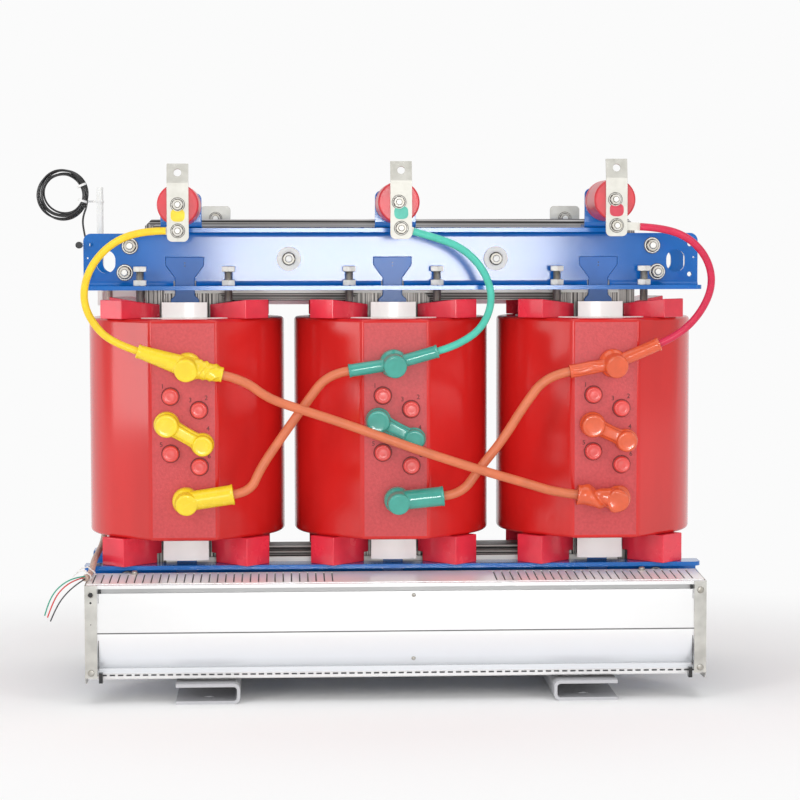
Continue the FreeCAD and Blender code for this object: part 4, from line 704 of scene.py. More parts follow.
def spare_turns():
    """Loose turns of the sensor cable, hung beside the neutral bar: they differ in size and fan out."""
    points = []
    for i in range(1, int(TURNS * POINTS_PER_TURN) + 1):
        turn = i / POINTS_PER_TURN
        angle = TURNS_START + 2 * math.pi * turn
        radius = between_turns(TURN_RADII, turn) + 1.2 * math.sin(2 * angle + turn)
        x, y, z = (m + between_turns(shift, turn) for m, shift in zip(TURNS_MIDDLE, TURN_SHIFTS))
        points.append((x + radius * math.cos(angle), y, z + radius * math.sin(angle)))
    return points


def make_cords(ties):
    for phase, route in LINE_ROUTES.items():
        lead = cord_curve("line_cable_" + phase, route, LINE_DIAMETER, M[LINE_FINISHES[phase]])
        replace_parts(lead, "line_lead_" + phase)
    for phase, route in DELTA_ROUTES.items():
        lead = cord_curve("delta_cable_" + phase, route, DELTA_DIAMETER, M["lead_orange"])
        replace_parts(lead, "delta_lead_" + phase)
    loom = cord_curve("fan_loom_sheath", LOOM_ROUTE, LOOM_DIAMETER, M["beige"])
    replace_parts(loom, "fan_loom")
    sensor = cord_curve("sensor_cable", SENSOR_TAIL + spare_turns(), SENSOR_DIAMETER, M["black"], 5)
    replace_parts(sensor, "sensor_cable_coil", "sensor_cable_tail")
    length_of(sensor)
    for name, route in WIRE_ROUTES.items():
        wire = cord_curve("fan_" + name, route, WIRE_DIAMETER, M[name], 4)
        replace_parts(wire, "fan_wires")
        length_of(wire)


# Ties: flat nylon bands round the spare turns, on the neutral bar and round the loom

STRAP_THICKNESS = 0.0012
TURNS_TIES = ((-17.0, 0.0085), (24.0, 0.0082))
TIE_RING_MIDDLE, TIE_RING_RADIUS = Vector((-0.657, 0.160, 0.959)), 0.0445
BAR_TIE_Z, BAR_TIE_HALF = 0.945, 0.0022
BAR_TIE_MIDDLE, BAR_TIE_OUTER, BAR_TIE_INNER = (-0.5820, 0.1900), (0.0064, 0.0264), (0.0052, 0.0252)
LOOM_TIES = (((-0.5765, -0.192, 0.2362), (-0.1, -1, -0.3)), ((-0.5815, -0.222, 0.2337), (-0.2, -1, -0.05)))
LOOM_TIE_TAIL = ((0, 0, 0), (-0.006, -0.004, 0.006), (-0.018, -0.008, 0.004), (-0.027, -0.010, -0.006))
LOOM_TIE_RADII = (0.0016, 0.0014, 0.0013, 0.0011)


def strap(shell, middle, normal, radius, width):
    """A flat nylon band looped round a bundle; the normal points along the bundle."""
    middle, normal = Vector(middle), Vector(normal).normalized()
    across = normal.orthogonal().normalized()
    other = normal.cross(across)
    outside, half = radius + STRAP_THICKNESS, width / 2
    section = ((radius, -half), (outside, -half), (outside, half), (radius, half))
    shell.rings([circle(middle + normal * w, across, other, r, 28) for r, w in section], joined=True)


def make_ties():
    shell = Shell()
    for degrees, radius in TURNS_TIES:
        t = math.radians(degrees)
        middle = TIE_RING_MIDDLE + Vector((math.cos(t), 0, math.sin(t))) * TIE_RING_RADIUS
        strap(shell, middle, (-math.sin(t), 0, math.cos(t)), radius, 0.0045)
    low, high = BAR_TIE_Z - BAR_TIE_HALF, BAR_TIE_Z + BAR_TIE_HALF
    shell.block((-0.6110, 0.1715, low), (-0.5882, 0.1728, high))
    x, y = BAR_TIE_MIDDLE
    shell.rings([[(x - dx, y - dy, z), (x + dx, y - dy, z), (x + dx, y + dy, z), (x - dx, y + dy, z)]
                 for (dx, dy), z in ((BAR_TIE_INNER, low), (BAR_TIE_OUTER, low), (BAR_TIE_OUTER, high),
                                     (BAR_TIE_INNER, high))], joined=True)
    ties = shell.made("nylon_ties", M["nylon"], smooth=40)
    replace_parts(ties, "cable_ties")
    loose = Shell()
    for middle, along in LOOM_TIES:
        strap(loose, middle, along, 0.0066, 0.0048)
        top = Vector(middle) + UP * 0.0078
        loose.tube([top + Vector(step) for step in LOOM_TIE_TAIL], LOOM_TIE_RADII, 8)
    loose.made("loom_ties", M["nylon"], smooth=40)
    return ties


# Boots: soft covers with a drooping cap and open tubes; some are creased. Places are in millimetres.

UPPER_BOOTS = {
    "a": dict(place=(9, 121), cap=(6, 114.6), ends=[(-84, 152), (75, 106)], swell=(8.0, 9.0)),
    "b": dict(place=(-4, 126), cap=(-1.5, 120.4), ends=[(-89, 113), (79, 149.5)]),
    "c": dict(place=(12, 125), cap=(16.5, 118.5), ends=[(-72, 110), (98, 162)]),
}
LOWER_BOOTS = {
    "a": dict(place=(4, -132), cap=(6.5, -137.5), ends=[(94, -118.5)]),
    "b": dict(place=(3, -133), cap=(5, -138.6), ends=[(90, -124)]),
    "c": dict(place=(21, -132), cap=(19, -135), ends=[(-57, -123)]),
}
UPPER_SIZES = dict(base=27.5, cap=22.6, tube=12.3, height=46)
LOWER_SIZES = dict(base=26.0, cap=21.4, tube=18.6, height=44)
# A boot's tube: shares of its run from the boot's middle to its mouth, and how far its lip stands out there
TUBE_SHARES = (0.0, 0.2, 0.4, 0.6, 0.8, 0.93, 0.955, 0.968, 1.0)
TUBE_LIPS = (0.0, 0.0, 0.0, 0.0, 0.0, 0.0, 0.3, 1.2, 1.2)
MOUTH_WALL = 1.6


def boot_mouth(phase, place):
    """Middle of a boot tube's open end."""
    return Vector((PHASES[phase] + place[0] * MM, BOOT_TUBE_Y, COIL_MIDDLE + place[1] * MM))


def skin_of_boot(name, phase, spec, sizes):
    shell = Shell()
    place, cap = spec["place"], spec["cap"]
    base, height = sizes["base"], sizes["height"]
    shell.turned(in_mm((base - 0.5, 0), (base, 1.0), (base - 0.3, 14), (base - 1.8, 20), (base - 5, 24),
                       (base - 12, 26)), on_panel(phase, place, 0.3), FRONT)
    lean = Vector(((cap[0] - place[0]) * MM, -(height - 14) * MM, (cap[1] - place[1]) * MM)).normalized()
    rim, run = sizes["cap"], height - 13
    shell.turned(in_mm((rim, 0), (rim, run * 0.6), (rim - 0.6, run - 3.5), (rim - 1.8, run - 1.2),
                       (rim - 4.2, run - 0.2), (rim - 8, run - 0.6), (rim - 15, run - 0.9)),
                 on_panel(phase, place, 12), lean)
    middle = boot_mouth(phase, place)
    for end, swell in zip(spec["ends"], spec.get("swell", (0.0, 0.0))):
        mouth = boot_mouth(phase, end)
        radii = [(sizes["tube"] + lip + swell * (1.0 - share)) * MM
                 for share, lip in zip(TUBE_SHARES, TUBE_LIPS)]
        shell.tube([middle.lerp(mouth, share) for share in TUBE_SHARES], radii, 32)
    return melted(shell.made(name, M[BOOT_FINISHES[phase]]), 4)


def open_mouths(item, phase, spec, tube):
    """Hollow the end of every tube so that it stands round its lead as a thin lip."""
    middle = boot_mouth(phase, spec["place"])
    inside = (tube - MOUTH_WALL) * MM
    for end in spec["ends"]:
        mouth = boot_mouth(phase, end)
        inward = (middle - mouth).normalized()
        tool = Shell()
        tool.turned([(inside, -0.004), (inside, 0.006), (0.002, 0.0075)], mouth, inward, 32)
        cut_out(item, tool.made("mouth_tool"))


def creased(item, start, end, height, kind, seed, ridges=0.0):
    """Push a soft tube's skin in and out between two points: 'long' creases run along it,
    'cross' ones across, a 'fold' is one deep slanting valley, and 'noise' is a soft crumple."""
    axis = end - start
    run = axis.length
    axis.normalize()
    side = axis.cross(FRONT).normalized()
    mesh = item.data
    normals = [v.normal.copy() for v in mesh.vertices]
    for vertex, normal in zip(mesh.vertices, normals):
        offset = vertex.co - start
        along = offset.dot(axis) / run
        if not -0.05 < along < 1.05:
            continue
        away = offset - axis * offset.dot(axis)
        angle = math.atan2(away.dot(side), away.dot(FRONT))
        fade = min(1.0, max(0.0, (along + 0.05) * 6)) * min(1.0, max(0.0, (1.0 - along) * 7 + 0.15))
        sway = noise.noise(vertex.co * 45.0 + Vector((seed, 0, 0)))
        if kind == "long":
            wave = abs(math.sin(angle * ridges * 0.5 + 2.0 * sway)) ** 0.6 - 0.6
            fade *= max(0.0, math.cos(angle * 0.5)) ** 0.5
        elif kind == "cross":
            wave = 0.7 - abs(math.sin(along * ridges * math.pi + 1.3 * angle + 3.0 * sway)) ** 0.5
        elif kind == "fold":
            valley = (along - 0.40 - 0.20 * math.sin(angle + 0.5)) / 0.085
            wave = 0.35 - 1.5 * math.exp(-valley * valley) + 0.5 * math.exp(-(valley - 2.2) ** 2)
        else:
            wave = 1.5 * noise.noise(vertex.co * 30.0 + Vector((0, seed, 0)))
        vertex.co += normal * (wave * height * fade)
    mesh.update()


def crease_boot(item, level, phase, middle, mouths):
    """The creases that single boots have: across and along the upper ones, a fold in a lower one."""
    if (level, phase) == ("upper", "a"):
        right = mouths[1]
        creased(item, middle.lerp(right, 0.30), right, 0.0030, "cross", 4.0, ridges=2.2)
        creased(item, middle.lerp(right, 0.20), right, 0.0035, "noise", 9.0)
    if (level, phase) == ("upper", "c"):
        left = mouths[0]
        creased(item, middle.lerp(left, 0.36), left, 0.0014, "long", 2.0, ridges=9.0)
    if (level, phase) == ("lower", "c"):
        left = mouths[0]
        creased(item, middle - (left - middle) * 0.35, left, 0.0038, "noise", 5.0)
        creased(item, middle, left, 0.0036, "fold", 7.0)


def make_boots():
    for level, boots, sizes in (("upper", UPPER_BOOTS, UPPER_SIZES), ("lower", LOWER_BOOTS, LOWER_SIZES)):
        for phase, spec in boots.items():
            item = skin_of_boot("boot_" + level + "_" + phase, phase, spec, sizes)
            mouths = [boot_mouth(phase, end) for end in spec["ends"]]
            crease_boot(item, level, phase, boot_mouth(phase, spec["place"]), mouths)
            open_mouths(item, phase, spec, sizes["tube"])
            modified(item, ("DECIMATE", dict(ratio=0.4)))
            smoothed(item.data)
            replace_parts(item, level + "_boot_" + phase)


# Solids: copies with eased edges stand for some, and others only get a better finish

# Node, width of the easing and finish
EASED = (
    ("lower_clamp_front", 0.0010, "blue"), ("lower_clamp_rear", 0.0010, "blue"),
    ("upper_clamp_front", 0.0010, "blue"), ("upper_clamp_rear", 0.0010, "blue"),
    ("tie_plates", 0.0016, "blue_light"),
    ("hv_insulators", 0.0010, "insulator"), ("hv_brackets", 0.0008, "blue"), ("hv_bars", 0.0006, "tin"),
    ("lv_bars", 0.0010, "tin"), ("neutral_bar", 0.0010, "neutral"), ("base_rails", 0.0008, "rail"),
)
PAINTED = {
    "limb_sheets": ("core_limb_a", "core_limb_b", "core_limb_c"),
    "yoke_sheets": ("core_yoke_upper", "core_yoke_lower"),
    "winding": ("lv_coil_a", "lv_coil_b", "lv_coil_c"),
    "aluminium": ("fan_scrolls", "fan_rotor_front", "fan_rotor_rear"),
    "cream": ("yoke_insulation", "lv_bar_supports"),
    "steel_plate": ("fan_end_plates",), "blue": ("clamp_pedestals",), "barrier": ("barrier_cylinders",),
    "dark": ("fan_motors",), "tin": ("hv_lugs",), "black": ("sensor_gland",),
}
# Small round holes at both ends of the front upper clamp's web: X, Z and radius
WEB_HOLES = ((0.5785, 0.8576, 0.0045), (0.5783, 0.7991, 0.0045), (0.5860, 0.8320, 0.0018))
WEB_MIDDLE_Y = -0.0826
FOOT_TURN, FOOT_END, FOOT_LONGER = math.radians(44.0), 0.150, 0.038
SKIRT_HALF, SKIRT_STEPS = 20.1, 24
SKIRT_OUTER, SKIRT_INNER = 0.12665, 0.12385
SKIRT_TOP = COIL_BOTTOM - 0.0265
SKIRT_HEIGHT = 0.0205
COLLAR_INNER, COLLAR_OUTER, COLLAR_THICKNESS = 0.1275, 0.152, 0.0016


def eased(node, width, *materials, segments=2, cuts=()):
    """A copy of a solid's mesh with its sharp edges rounded off a little; it stands for the solid."""
    mesh = bpy.data.meshes.new(node + "_eased")
    cleaned(solids[node].data, mesh, flat=math.radians(1.5))
    for material in materials:
        mesh.materials.append(material)
    smoothed(mesh)
    item = add_object(mesh.name, mesh)
    modified(item, ("BEVEL", dict(width=width, segments=segments, limit_method="ANGLE",
                                  angle_limit=math.radians(28.0), use_clamp_overlap=True)))
    for tool in cuts:
        cut_out(item, tool)
    item.data.set_sharp_from_angle(angle=math.radians(20))
    modified(item, ("WEIGHTED_NORMAL", dict(weight=100, keep_sharp=True)))
    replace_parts(item, node)
    return item


def painted(node, material):
    """Give a solid that stays as it is a better finish."""
    mesh = solids[node].data
    for i in range(len(mesh.materials)):
        mesh.materials[i] = material
    if not mesh.materials:
        mesh.materials.append(material)


def web_hole_tools():
    """Pegs that cut the small round holes near both ends of the clamp's web."""
    tools = []
    for end in (-1, 1):
        for x, z, radius in WEB_HOLES:
            tool = Shell()
            tool.turned([(radius, -0.03), (radius, 0.03)], (end * x, WEB_MIDDLE_Y, z), (0, 1, 0), 20)
            tools.append(tool.made("hole_tool"))
    return tools


def lengthen_feet(pads):
    """Carry the lower pads' flat feet inward, nearly to the insulating cylinders."""
    for vertex in pads.data.vertices:
        x = vertex.co.x - min(PHASES.values(), key=lambda middle: abs(vertex.co.x - middle))
        aim = Vector((math.copysign(math.sin(FOOT_TURN), x), math.copysign(math.cos(FOOT_TURN), vertex.co.y)))
        along = x * aim.x + vertex.co.y * aim.y
        if abs(along - FOOT_END) < 0.003 and vertex.co.z < COIL_BOTTOM - 0.010:
            vertex.co.x -= aim.x * FOOT_LONGER
            vertex.co.y -= aim.y * FOOT_LONGER
    pads.data.update()


def dress_solids():
    eased("upper_coil_pads", 0.0016, M["pad"], segments=3)
    lengthen_feet(eased("lower_coil_pads", 0.0016, M["pad"], segments=3))
    for node, width, look in EASED:
        eased(node, width, M[look], cuts=web_hole_tools() if node == "upper_clamp_front" else ())
    for look, nodes in PAINTED.items():
        for node in nodes:
            painted(node, M[look])


def make_skirts():
    """The insulating cylinders' lower tongues reach down almost to the clamps' flanges."""
    shell = Shell()
    angles = [math.radians(SKIRT_HALF * (2 * i / SKIRT_STEPS - 1)) for i in range(SKIRT_STEPS + 1)]
    for x in PHASES.values():
        for side in (-1, 1):
            line = [(x + r * math.sin(a), side * r * math.cos(a))
                    for r, turn in ((SKIRT_OUTER, side), (SKIRT_INNER, -side)) for a in angles[::turn]]
            shell.rings([[(px, py, z) for px, py in line] for z in (SKIRT_TOP - SKIRT_HEIGHT, SKIRT_TOP)])
    shell.made("barrier_skirts", M["barrier"], smooth=25)


def make_collars():
    """Thin white rings that lie on the coils' end faces round the insulating cylinders."""
    shell = Shell()
    for x in PHASES.values():
        for level in (COIL_TOP, COIL_BOTTOM - COLLAR_THICKNESS):
            low, high = level + 0.00005, level + COLLAR_THICKNESS
            section = ((COLLAR_INNER, low), (COLLAR_OUTER, low), (COLLAR_OUTER, high), (COLLAR_INNER, high))
            shell.rings([circle(Vector((x, 0, z)), Vector((1, 0, 0)), Vector((0, 1, 0)), r, 72)
                         for r, z in section], joined=True)
    shell.made("coil_collars", M["barrier"])


# Fan: slotted outlet, dark dashes along the foot that are painted shade of its slots, screws, and end plate
# fittings with painted shade of holes and gaps. The rear fan mirrors the front.

FAN_FACE_Y = 0.2695
FOOT_FACE_Y = 0.2473
OUTLET_FRONT, OUTLET_BACK, OUTLET_MARGIN, OUTLET_SHEET = 0.2519, 0.150, 0.007, 0.0015
OUTLET_LOW, OUTLET_CLIMB = 0.224, 0.007
SLOT_PITCH, SLOT_WIDTH, FOOT_SLOT_WIDTH = 0.0155, 0.0028, 0.0100
MOTOR_X, MOTOR_HALF = 0.031, 0.150
END_PLATE_X = 0.5722
# Levels of the groove below the outlet, whose faces get painted shade
STRIP_LEVELS = (0.2085, 0.2175)
CURVE_LEVELS = (0.060, 0.1352)
COVER_SCREW = in_mm((3.9, 0), (4.0, 0.6), (3.6, 1.7), (2.4, 2.3), (1.0, 2.5))
COVER_SCREW_LEVELS = (0.2017, 0.080)
END_SCREW = in_mm((6.4, 0), (6.5, 0.6), (5.6, 1.2), (5.2, 2.2), (3.0, 2.6))
END_CAP = in_mm((6.0, 0), (6.1, 0.5), (5.2, 0.9))
END_SCREW_LOW, END_SCREW_HIGH = 0.060, 0.207
# Dark spots on the left end plate, painted shade of its holes: radius, how far out they start, radius of the
# tip, level and sides
END_SPOTS = ((0.0046, 0.0009, 0.002, END_SCREW_HIGH, 24), (0.0021, 0, 0.001, 0.192, 16),
             (0.0010, 0, 0.0005, 0.151, 12))
# Dark pieces between the covers and an end plate, a black rubber foot and two strips of painted shade in the
# gaps: X, Y and Z ranges at the right end of the rear fan
END_BLOCKS = (((0.5515, 0.5585), (0.2500, 0.2640), (0.0395, 0.0590)),
              ((0.5578, 0.5588), (0.2600, 0.2664), (0.0640, 0.2080)),
              ((0.5530, 0.5585), (0.2600, 0.2665), (0.2085, 0.2172)))
TOP_SCREW = in_mm((8.0, 0), (8.0, 1.6), (5.8, 1.7), (5.6, 4.5), (4.0, 6.0), (1.5, 6.4))
TOP_SCREW_PLACES = (-0.497, 0.477)


def outlet_height(y):
    """The outlet sheet climbs a little from the fan's face to its back edge."""
    return OUTLET_LOW + (abs(y) - FAN_FACE_Y) / (OUTLET_BACK - FAN_FACE_Y) * OUTLET_CLIMB


def slotted_sheet(shell, xs, ys):
    """A sheet over a grid of edges; every second cell of the grid's middle row is a slot."""
    start, wide = len(shell.points), len(xs)
    for y in ys:
        for x in xs:
            height = outlet_height(y)
            shell.points += [Vector((x, y, height)), Vector((x, y, height - OUTLET_SHEET))]

    def corner(place, under):
        return start + (place[1] * wide + place[0]) * 2 + under

    def solid(i, j):
        return 0 <= i < wide - 1 and 0 <= j < 3 and not (j == 1 and i % 2 == 1)

    for j in range(3):
        for i in range(wide - 1):
            if not solid(i, j):
                continue
            ring = [(i, j), (i + 1, j), (i + 1, j + 1), (i, j + 1)]
            shell.faces.append(tuple(corner(place, 0) for place in ring))
            shell.faces.append(tuple(corner(place, 1) for place in reversed(ring)))
            neighbours = ((i, j - 1), (i + 1, j), (i, j + 1), (i - 1, j))
            for neighbour, a, b in zip(neighbours, ring, ring[1:] + ring[:1]):
                if not solid(*neighbour):
                    shell.faces.append((corner(a, 0), corner(a, 1), corner(b, 1), corner(b, 0)))


def make_grilles():
    low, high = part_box("fan_grilles")
    edges = [low[0]]
    x = low[0] + 0.010
    while x + SLOT_WIDTH < high[0] - 0.008:
        if abs(x - MOTOR_X) > MOTOR_HALF:
            edges += [x, x + SLOT_WIDTH]
        x += SLOT_PITCH
    edges.append(high[0])
    shell = Shell()
    for front, back in ((-OUTLET_FRONT, -OUTLET_BACK), (OUTLET_BACK, OUTLET_FRONT)):
        slotted_sheet(shell, edges, (front, front + OUTLET_MARGIN, back - OUTLET_MARGIN, back))
    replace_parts(shell.made("fan_outlets", M["mirror_sheet"], smooth=20), "fan_grilles")


def cover_face(x, z, side):
    """Y of the fan cover's outer face on one side, at a place given by X and Z."""
    mesh = solids["fan_covers"].data
    tree = BVHTree.FromPolygons([v.co for v in mesh.vertices], [p.vertices for p in mesh.polygons])
    return tree.ray_cast(Vector((x, side * 2.0, z)), Vector((0, -side, 0)))[0].y


def dress_end(heads, darks, side, end):
    """Screws at one end plate of a fan, a black rubber foot, and dark spots and strips that are painted shade
    of its holes and gaps.
    """
    x, face, out = end * END_PLATE_X, side * FAN_FACE_Y, (0, side, 0)
    heads.turned(END_SCREW, (x, face, END_SCREW_LOW), out, 28)
    heads.turned(END_SCREW if end == 1 else END_CAP, (x, face, END_SCREW_HIGH), out, 28)
    if end == -1:
        for radius, lift, tip, z, count in END_SPOTS:
            spot = [(radius, lift), (radius, lift + 0.0002), (tip, lift + 0.0003)]
            darks.turned(spot, (x, face, z), out, count)
    for xs, ys, (z0, z1) in END_BLOCKS:
        x0, x1 = sorted(end * x for x in xs)
        y0, y1 = sorted(side * y for y in ys)
        darks.block((x0, y0, z0), (x1, y1, z1))


def make_fan_details():
    covers = eased("fan_covers", 0.0003, M["aluminium"], M["cover_groove_shade"], M["fan_curve_shade"], segments=1)
    for face in covers.data.polygons:
        z, facing = face.center.z, abs(face.normal.y)
        # The groove below the outlet gets painted shade
        if STRIP_LEVELS[0] < z < STRIP_LEVELS[1] and facing > 0.7:
            face.material_index = 1
        # The lower curve gets the painted shade of the bands
        elif CURVE_LEVELS[0] < z < CURVE_LEVELS[1] and facing > 0.3:
            face.material_index = 2
    slot_shades, heads, darks = Shell(), Shell(), Shell()
    for side in (-1, 1):
        face = side * FOOT_FACE_Y
        x = -0.5705
        while x < 0.562:
            # Dark blocks where the foot has slots: painted shade of the openings
            slot_shades.block((x, face - 0.0002, 0.0500), (x + FOOT_SLOT_WIDTH, face + 0.0002, 0.0530))
            x += SLOT_PITCH
        for z in COVER_SCREW_LEVELS:
            x = MOTOR_X * -side
            heads.turned(COVER_SCREW, (x, cover_face(x, z, side), z), (0, side, 0), 24)
        for end in (-1, 1):
            dress_end(heads, darks, side, end)
        for x in TOP_SCREW_PLACES:
            heads.turned(TOP_SCREW, (x, side * 0.1570, 0.2306), UP, 24)
    slot_shades.made("fan_foot_slot_shades", M["dark"], smooth=20)
    heads.made("fan_screws", M["zinc"], smooth=35)
    darks.made("fan_end_rubber_and_shade", M["black"], smooth=35)


# Marks: tie plate dots, coloured phase patches on the terminals and plain numbers beside the plugs

DOT_LEVELS = (0.8225, 0.8165)
TERMINAL_Y = -0.2940
# Each terminal: X of the insulator's bolt, X of the bar, and height of the insulator's bolt
TERMINALS = {"a": (-0.404, -0.404, 0.931), "b": (0.003, 0.007, 0.9355), "c": (0.404, 0.4066, 0.940)}
PATCH_HALF, PATCH_DROP = (0.0130, 0.0118), 0.0195
PATCH_LEVELS = ((1.0, 0.00002), (1.0, 0.0004), (0.9, 0.0006))
# Digits beside the plugs, in millimetres about the coil's middle
NUMBERS = ((-39, 84, "1"), (43, 62, "2"), (13, 58, "3"), (46, 4, "4"), (-42, -26, "5"), (48, -48, "6"))


def squared(value):
    """A sine or cosine drawn outward, which makes a circle into a soft square."""
    return math.copysign(abs(value) ** 0.7, value)


def make_marks():
    dots = Shell()
    for x in PHASES.values():
        for z in DOT_LEVELS:
            dots.turned([(0.0012, 0), (0.0012, 0.0002)], (x, -WEB_FACE_Y, z), FRONT, 12)
    dots.made("tie_plate_dots", M["black"])
    angles = [2 * math.pi * i / 40 for i in range(40)]
    outline = [(squared(math.cos(t)), squared(math.sin(t))) for t in angles]
    for phase, (_, bar_x, z) in TERMINALS.items():
        shell = Shell()
        middle = Vector((bar_x, TERMINAL_Y, z - PATCH_DROP))
        shell.rings([[middle + Vector((PATCH_HALF[0] * r * u, -lift, PATCH_HALF[1] * r * v))
                      for u, v in outline] for r, lift in PATCH_LEVELS])
        shell.made("terminal_patch_" + phase, M["patch_" + phase])


def make_numbers():
    items = []
    for phase in PHASES:
        for x, z, digit in NUMBERS:
            data = bpy.data.curves.new("number", "FONT")
            data.body = digit
            data.size = 0.0125
            data.extrude = 0.00015
            data.resolution_u = 3
            item = add_object("number", data)
            item.location = on_panel(phase, (x - 3, z - 4), 0.18)
            item.rotation_euler = (math.radians(90), 0, 0)
            mesh = mesh_of(item)
            cleaned(mesh, mesh)
            mesh.transform(item.matrix_world)
            mesh.materials.append(M["ink"])
            items.append(add_object("number_solid", mesh))
            bpy.data.objects.remove(item)
            bpy.data.curves.remove(data)
    join_all("plug_numbers", items)


# Bolts: hexagons with chamfered corners, washers, stud ends and threads

CLAMP_BOLT = dict(flats=0.0215, height=0.0092, washer=0.0150, thickness=0.0030, stud=0.0062)
BAR_BOLT = dict(flats=0.0185, height=0.0078, washer=0.0122, thickness=0.0025, stud=0.0050)
LOW_VOLTAGE_BOLT = dict(flats=0.0185, height=0.0080, washer=0.0120, thickness=0.0025, stud=0.0055)
CLAMP_BOLT_ENDS = ((0.505, 0.855), (0.515, 0.804))
CLAMP_BOLT_MIDDLE = (0.2, 0.830)
BOARD_THICKNESS = 0.005
BOARD = in_mm((22.2, 0), (23.0, 0.6), (23.0, 4.4), (22.2, 5.0))
JACK_X, JACK_Y, FLANGE_THICKNESS = 0.0843, 0.118, 0.008
JACK_FLATS, JACK_NUT, JACK_HEAD, JACK_SHADE = 0.024, 0.0108, 0.010, 0.0105
LUG_DROP = 0.048
HEXAGON_STEPS = 48
LOW_VOLTAGE_BARS = (-0.347, 0.008, 0.363)
LOW_VOLTAGE_Y, LOW_VOLTAGE_Z = 0.158, 0.910


def hexagon(shell, foot, out, flats, height, double=False):
    """A hexagonal head or nut with its outer corners turned off; a double one has both faces turned off."""
    foot, out = Vector(foot), Vector(out).normalized()
    across = Vector((1, 0, 0))
    other = out.cross(across)
    turn = math.pi / 6 if double else 0.0
    angles = [2 * math.pi * i / HEXAGON_STEPS for i in range(HEXAGON_STEPS)]
    corner = [(flats / 2) / math.cos((a + turn) % (math.pi / 3) - math.pi / 6) for a in angles]
    cut = [(r - flats / 2) * 0.55 + 0.0002 for r in corner]
    face, flat = [flats * 0.48] * HEXAGON_STEPS, [0.0] * HEXAGON_STEPS
    rows = [(face, flat), (corner, cut)] if double else [(corner, flat)]
    rows += [(corner, [height - c for c in cut]), (face, [height] * HEXAGON_STEPS)]
    shell.rings([[foot + out * h + across * (r * math.cos(a)) + other * (r * math.sin(a))
                  for a, r, h in zip(angles, radii, levels)] for radii, levels in rows])


def fixing(kit, place, out, flats, height, washer, thickness, stud, insulated=False):
    """One end of a bolt: a washer on its seat, a head or nut, and the end of the stud."""
    place, out = Vector(place), Vector(out)
    plates, shades = kit["creams" if insulated else "plates"], kit["shades"]
    if not insulated:
        shades.turned([(washer + 0.0012, 0.00002), (washer + 0.0012, 0.00025)], place, out, 32)
    edge = 0.0006
    plates.turned([(washer, 0), (washer, thickness - edge), (washer - edge, thickness)], place, out, 40)
    seat = place + out * thickness
    shades.turned([(flats * 0.60, -0.0001), (flats * 0.60, 0.0002)], seat, out, 32)
    hexagon(kit["heads"], seat + out * 0.00025, out, flats, height - 0.00025)
    top = seat + out * height
    shades.turned([(stud + 0.0009, -0.0002), (stud + 0.0009, 0.00015)], top, out, 24)
    plates.turned([(stud, -0.0002), (stud, 0.0024), (stud - 0.0012, 0.0034)], top, out, 24)


def threaded(shell, x, y, low, high, radius, pitch=0.0022):
    """An upright stud with ridges round it."""
    count = int((high - low) / pitch)
    step = (high - low) / count
    profile = []
    for i in range(count):
        profile += [(radius * 0.88, i * step + 0.0001), (radius, (i + 0.5) * step)]
    profile.append((radius * 0.88, count * step))
    shell.turned(profile, (x, y, low), UP, 20)


def make_clamp_bolts(kit):
    middles = [(side * CLAMP_BOLT_MIDDLE[0], CLAMP_BOLT_MIDDLE[1]) for side in (-1, 1)]
    ends = [(side * x, z) for x, z in CLAMP_BOLT_ENDS for side in (-1, 1)]
    for x, z in ends + middles:
        insulated = (x, z) in middles
        seat = WEB_FACE_Y + (BOARD_THICKNESS if insulated else 0.0)
        for level in (z, 2 * COIL_MIDDLE - z):
            for side in (-1, 1):
                fixing(kit, (x, side * seat, level), (0, side, 0), insulated=insulated, **CLAMP_BOLT)
                if insulated:
                    kit["boards"].turned(BOARD, (x, side * WEB_FACE_Y, level), (0, side, 0), 56)
            kit["plates"].turned([(0.008, 0), (0.008, 2 * seat)], (x, -seat, level), (0, 1, 0), 20)


def make_jack_bolts(kit):
    """A threaded stud, a lock nut on the flange and a hexagonal head, four to a coil."""
    foot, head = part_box("coil_jack_bolts")[0][2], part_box("coil_jack_bolts")[1][2]
    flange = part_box("upper_clamp_front")[0][2] + FLANGE_THICKNESS
    for phase_x in PHASES.values():
        for x in (phase_x - JACK_X, phase_x + JACK_X):
            for y in (-JACK_Y, JACK_Y):
                threaded(kit["jacks"], x, y, foot, flange, 0.008)
                hexagon(kit["plates"], (x, y, flange + 0.0002), UP, JACK_FLATS, JACK_NUT, double=True)
                threaded(kit["jacks"], x, y, flange + 0.010, head - 0.009, 0.0078)
                hexagon(kit["plates"], (x, y, head - JACK_HEAD), UP, JACK_FLATS, JACK_HEAD, double=True)
                kit["shades"].turned([(JACK_SHADE, 0), (JACK_SHADE, 0.0002)], (x, y, head - 0.0104), UP, 24)


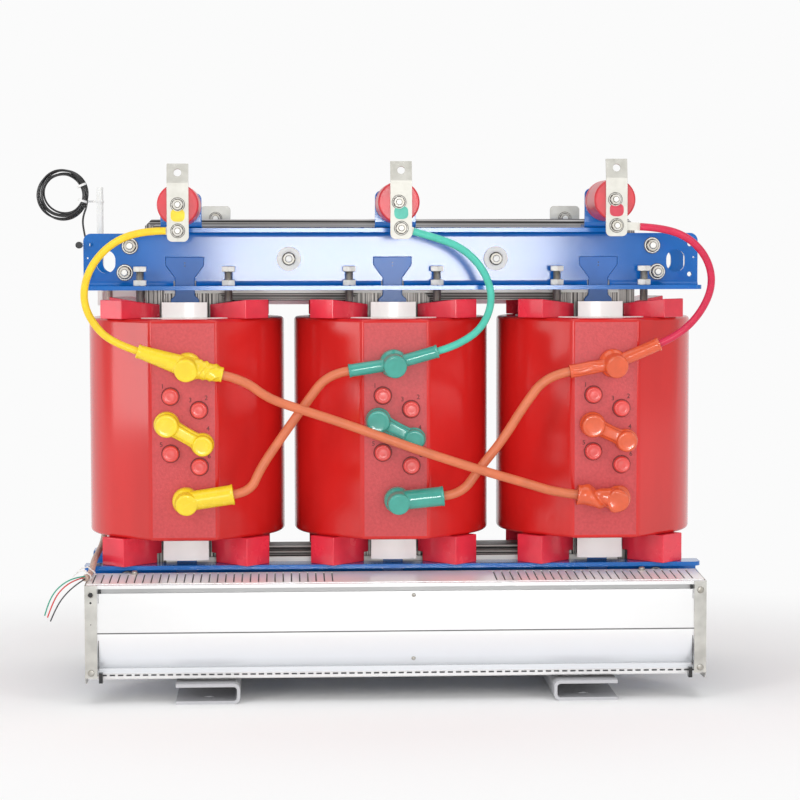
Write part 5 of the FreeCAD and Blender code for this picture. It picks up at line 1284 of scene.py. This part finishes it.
def make_terminal_bolts(kit):
    """One bolt into each insulator, one through each lead's lug, one at each low-voltage bar."""
    for bolt_x, bar_x, z in TERMINALS.values():
        lug = z - LUG_DROP
        for x, level in ((bolt_x, z), (bar_x, lug)):
            fixing(kit, (x, TERMINAL_Y, level), FRONT, **BAR_BOLT)
        kit["terminal"].turned([(0.005, 0), (0.005, 0.010)], (bar_x, TERMINAL_Y - 0.001, lug), (0, 1, 0), 20)
        hexagon(kit["terminal"], (bar_x, TERMINAL_Y + 0.0095, lug), (0, 1, 0), 0.016, 0.008)
    for x in LOW_VOLTAGE_BARS:
        for side in (-1, 1):
            fixing(kit, (x, LOW_VOLTAGE_Y + side * 0.004, LOW_VOLTAGE_Z), (0, side, 0), **LOW_VOLTAGE_BOLT)
        kit["plates"].turned([(0.0065, 0), (0.0065, 0.010)], (x, LOW_VOLTAGE_Y - 0.005, LOW_VOLTAGE_Z),
                             (0, 1, 0), 20)


def make_bolts():
    kit = {name: Shell() for name in ("heads", "plates", "shades", "creams", "boards", "jacks", "terminal")}
    make_clamp_bolts(kit)
    make_jack_bolts(kit)
    make_terminal_bolts(kit)
    kit["heads"].made("bolt_heads", M["zinc"], smooth=25)
    kit["shades"].made("bolt_shades", M["shade"], smooth=25)
    kit["creams"].made("insulated_bolt_washers", M["cream"], smooth=25)
    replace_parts(kit["boards"].made("insulating_boards", M["cream"], smooth=25), "insulating_washers")
    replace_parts(kit["plates"].made("bolt_washers", M["zinc_light"], smooth=25), "frame_bolts")
    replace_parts(kit["jacks"].made("jack_bolt_studs", M["zinc"], smooth=50), "coil_jack_bolts")
    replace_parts(kit["terminal"].made("terminal_bolt_shanks", M["zinc"], smooth=25), "hv_bar_bolts")


# The scene, put together


def settle():
    """Every piece that the scene adds rides on the fixed body."""
    for item in list(scene.collection.all_objects):
        if item.type in ("MESH", "CURVE") and item.name not in solids and item.name != "floor":
            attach(item, "root")


place_camera()
make_stage()
make_lights()
make_cords(make_ties())
make_coils()
make_plugs()
make_link_covers()
make_boots()
dress_solids()
make_skirts()
make_collars()
make_grilles()
make_fan_details()
make_marks()
make_numbers()
make_bolts()
settle()
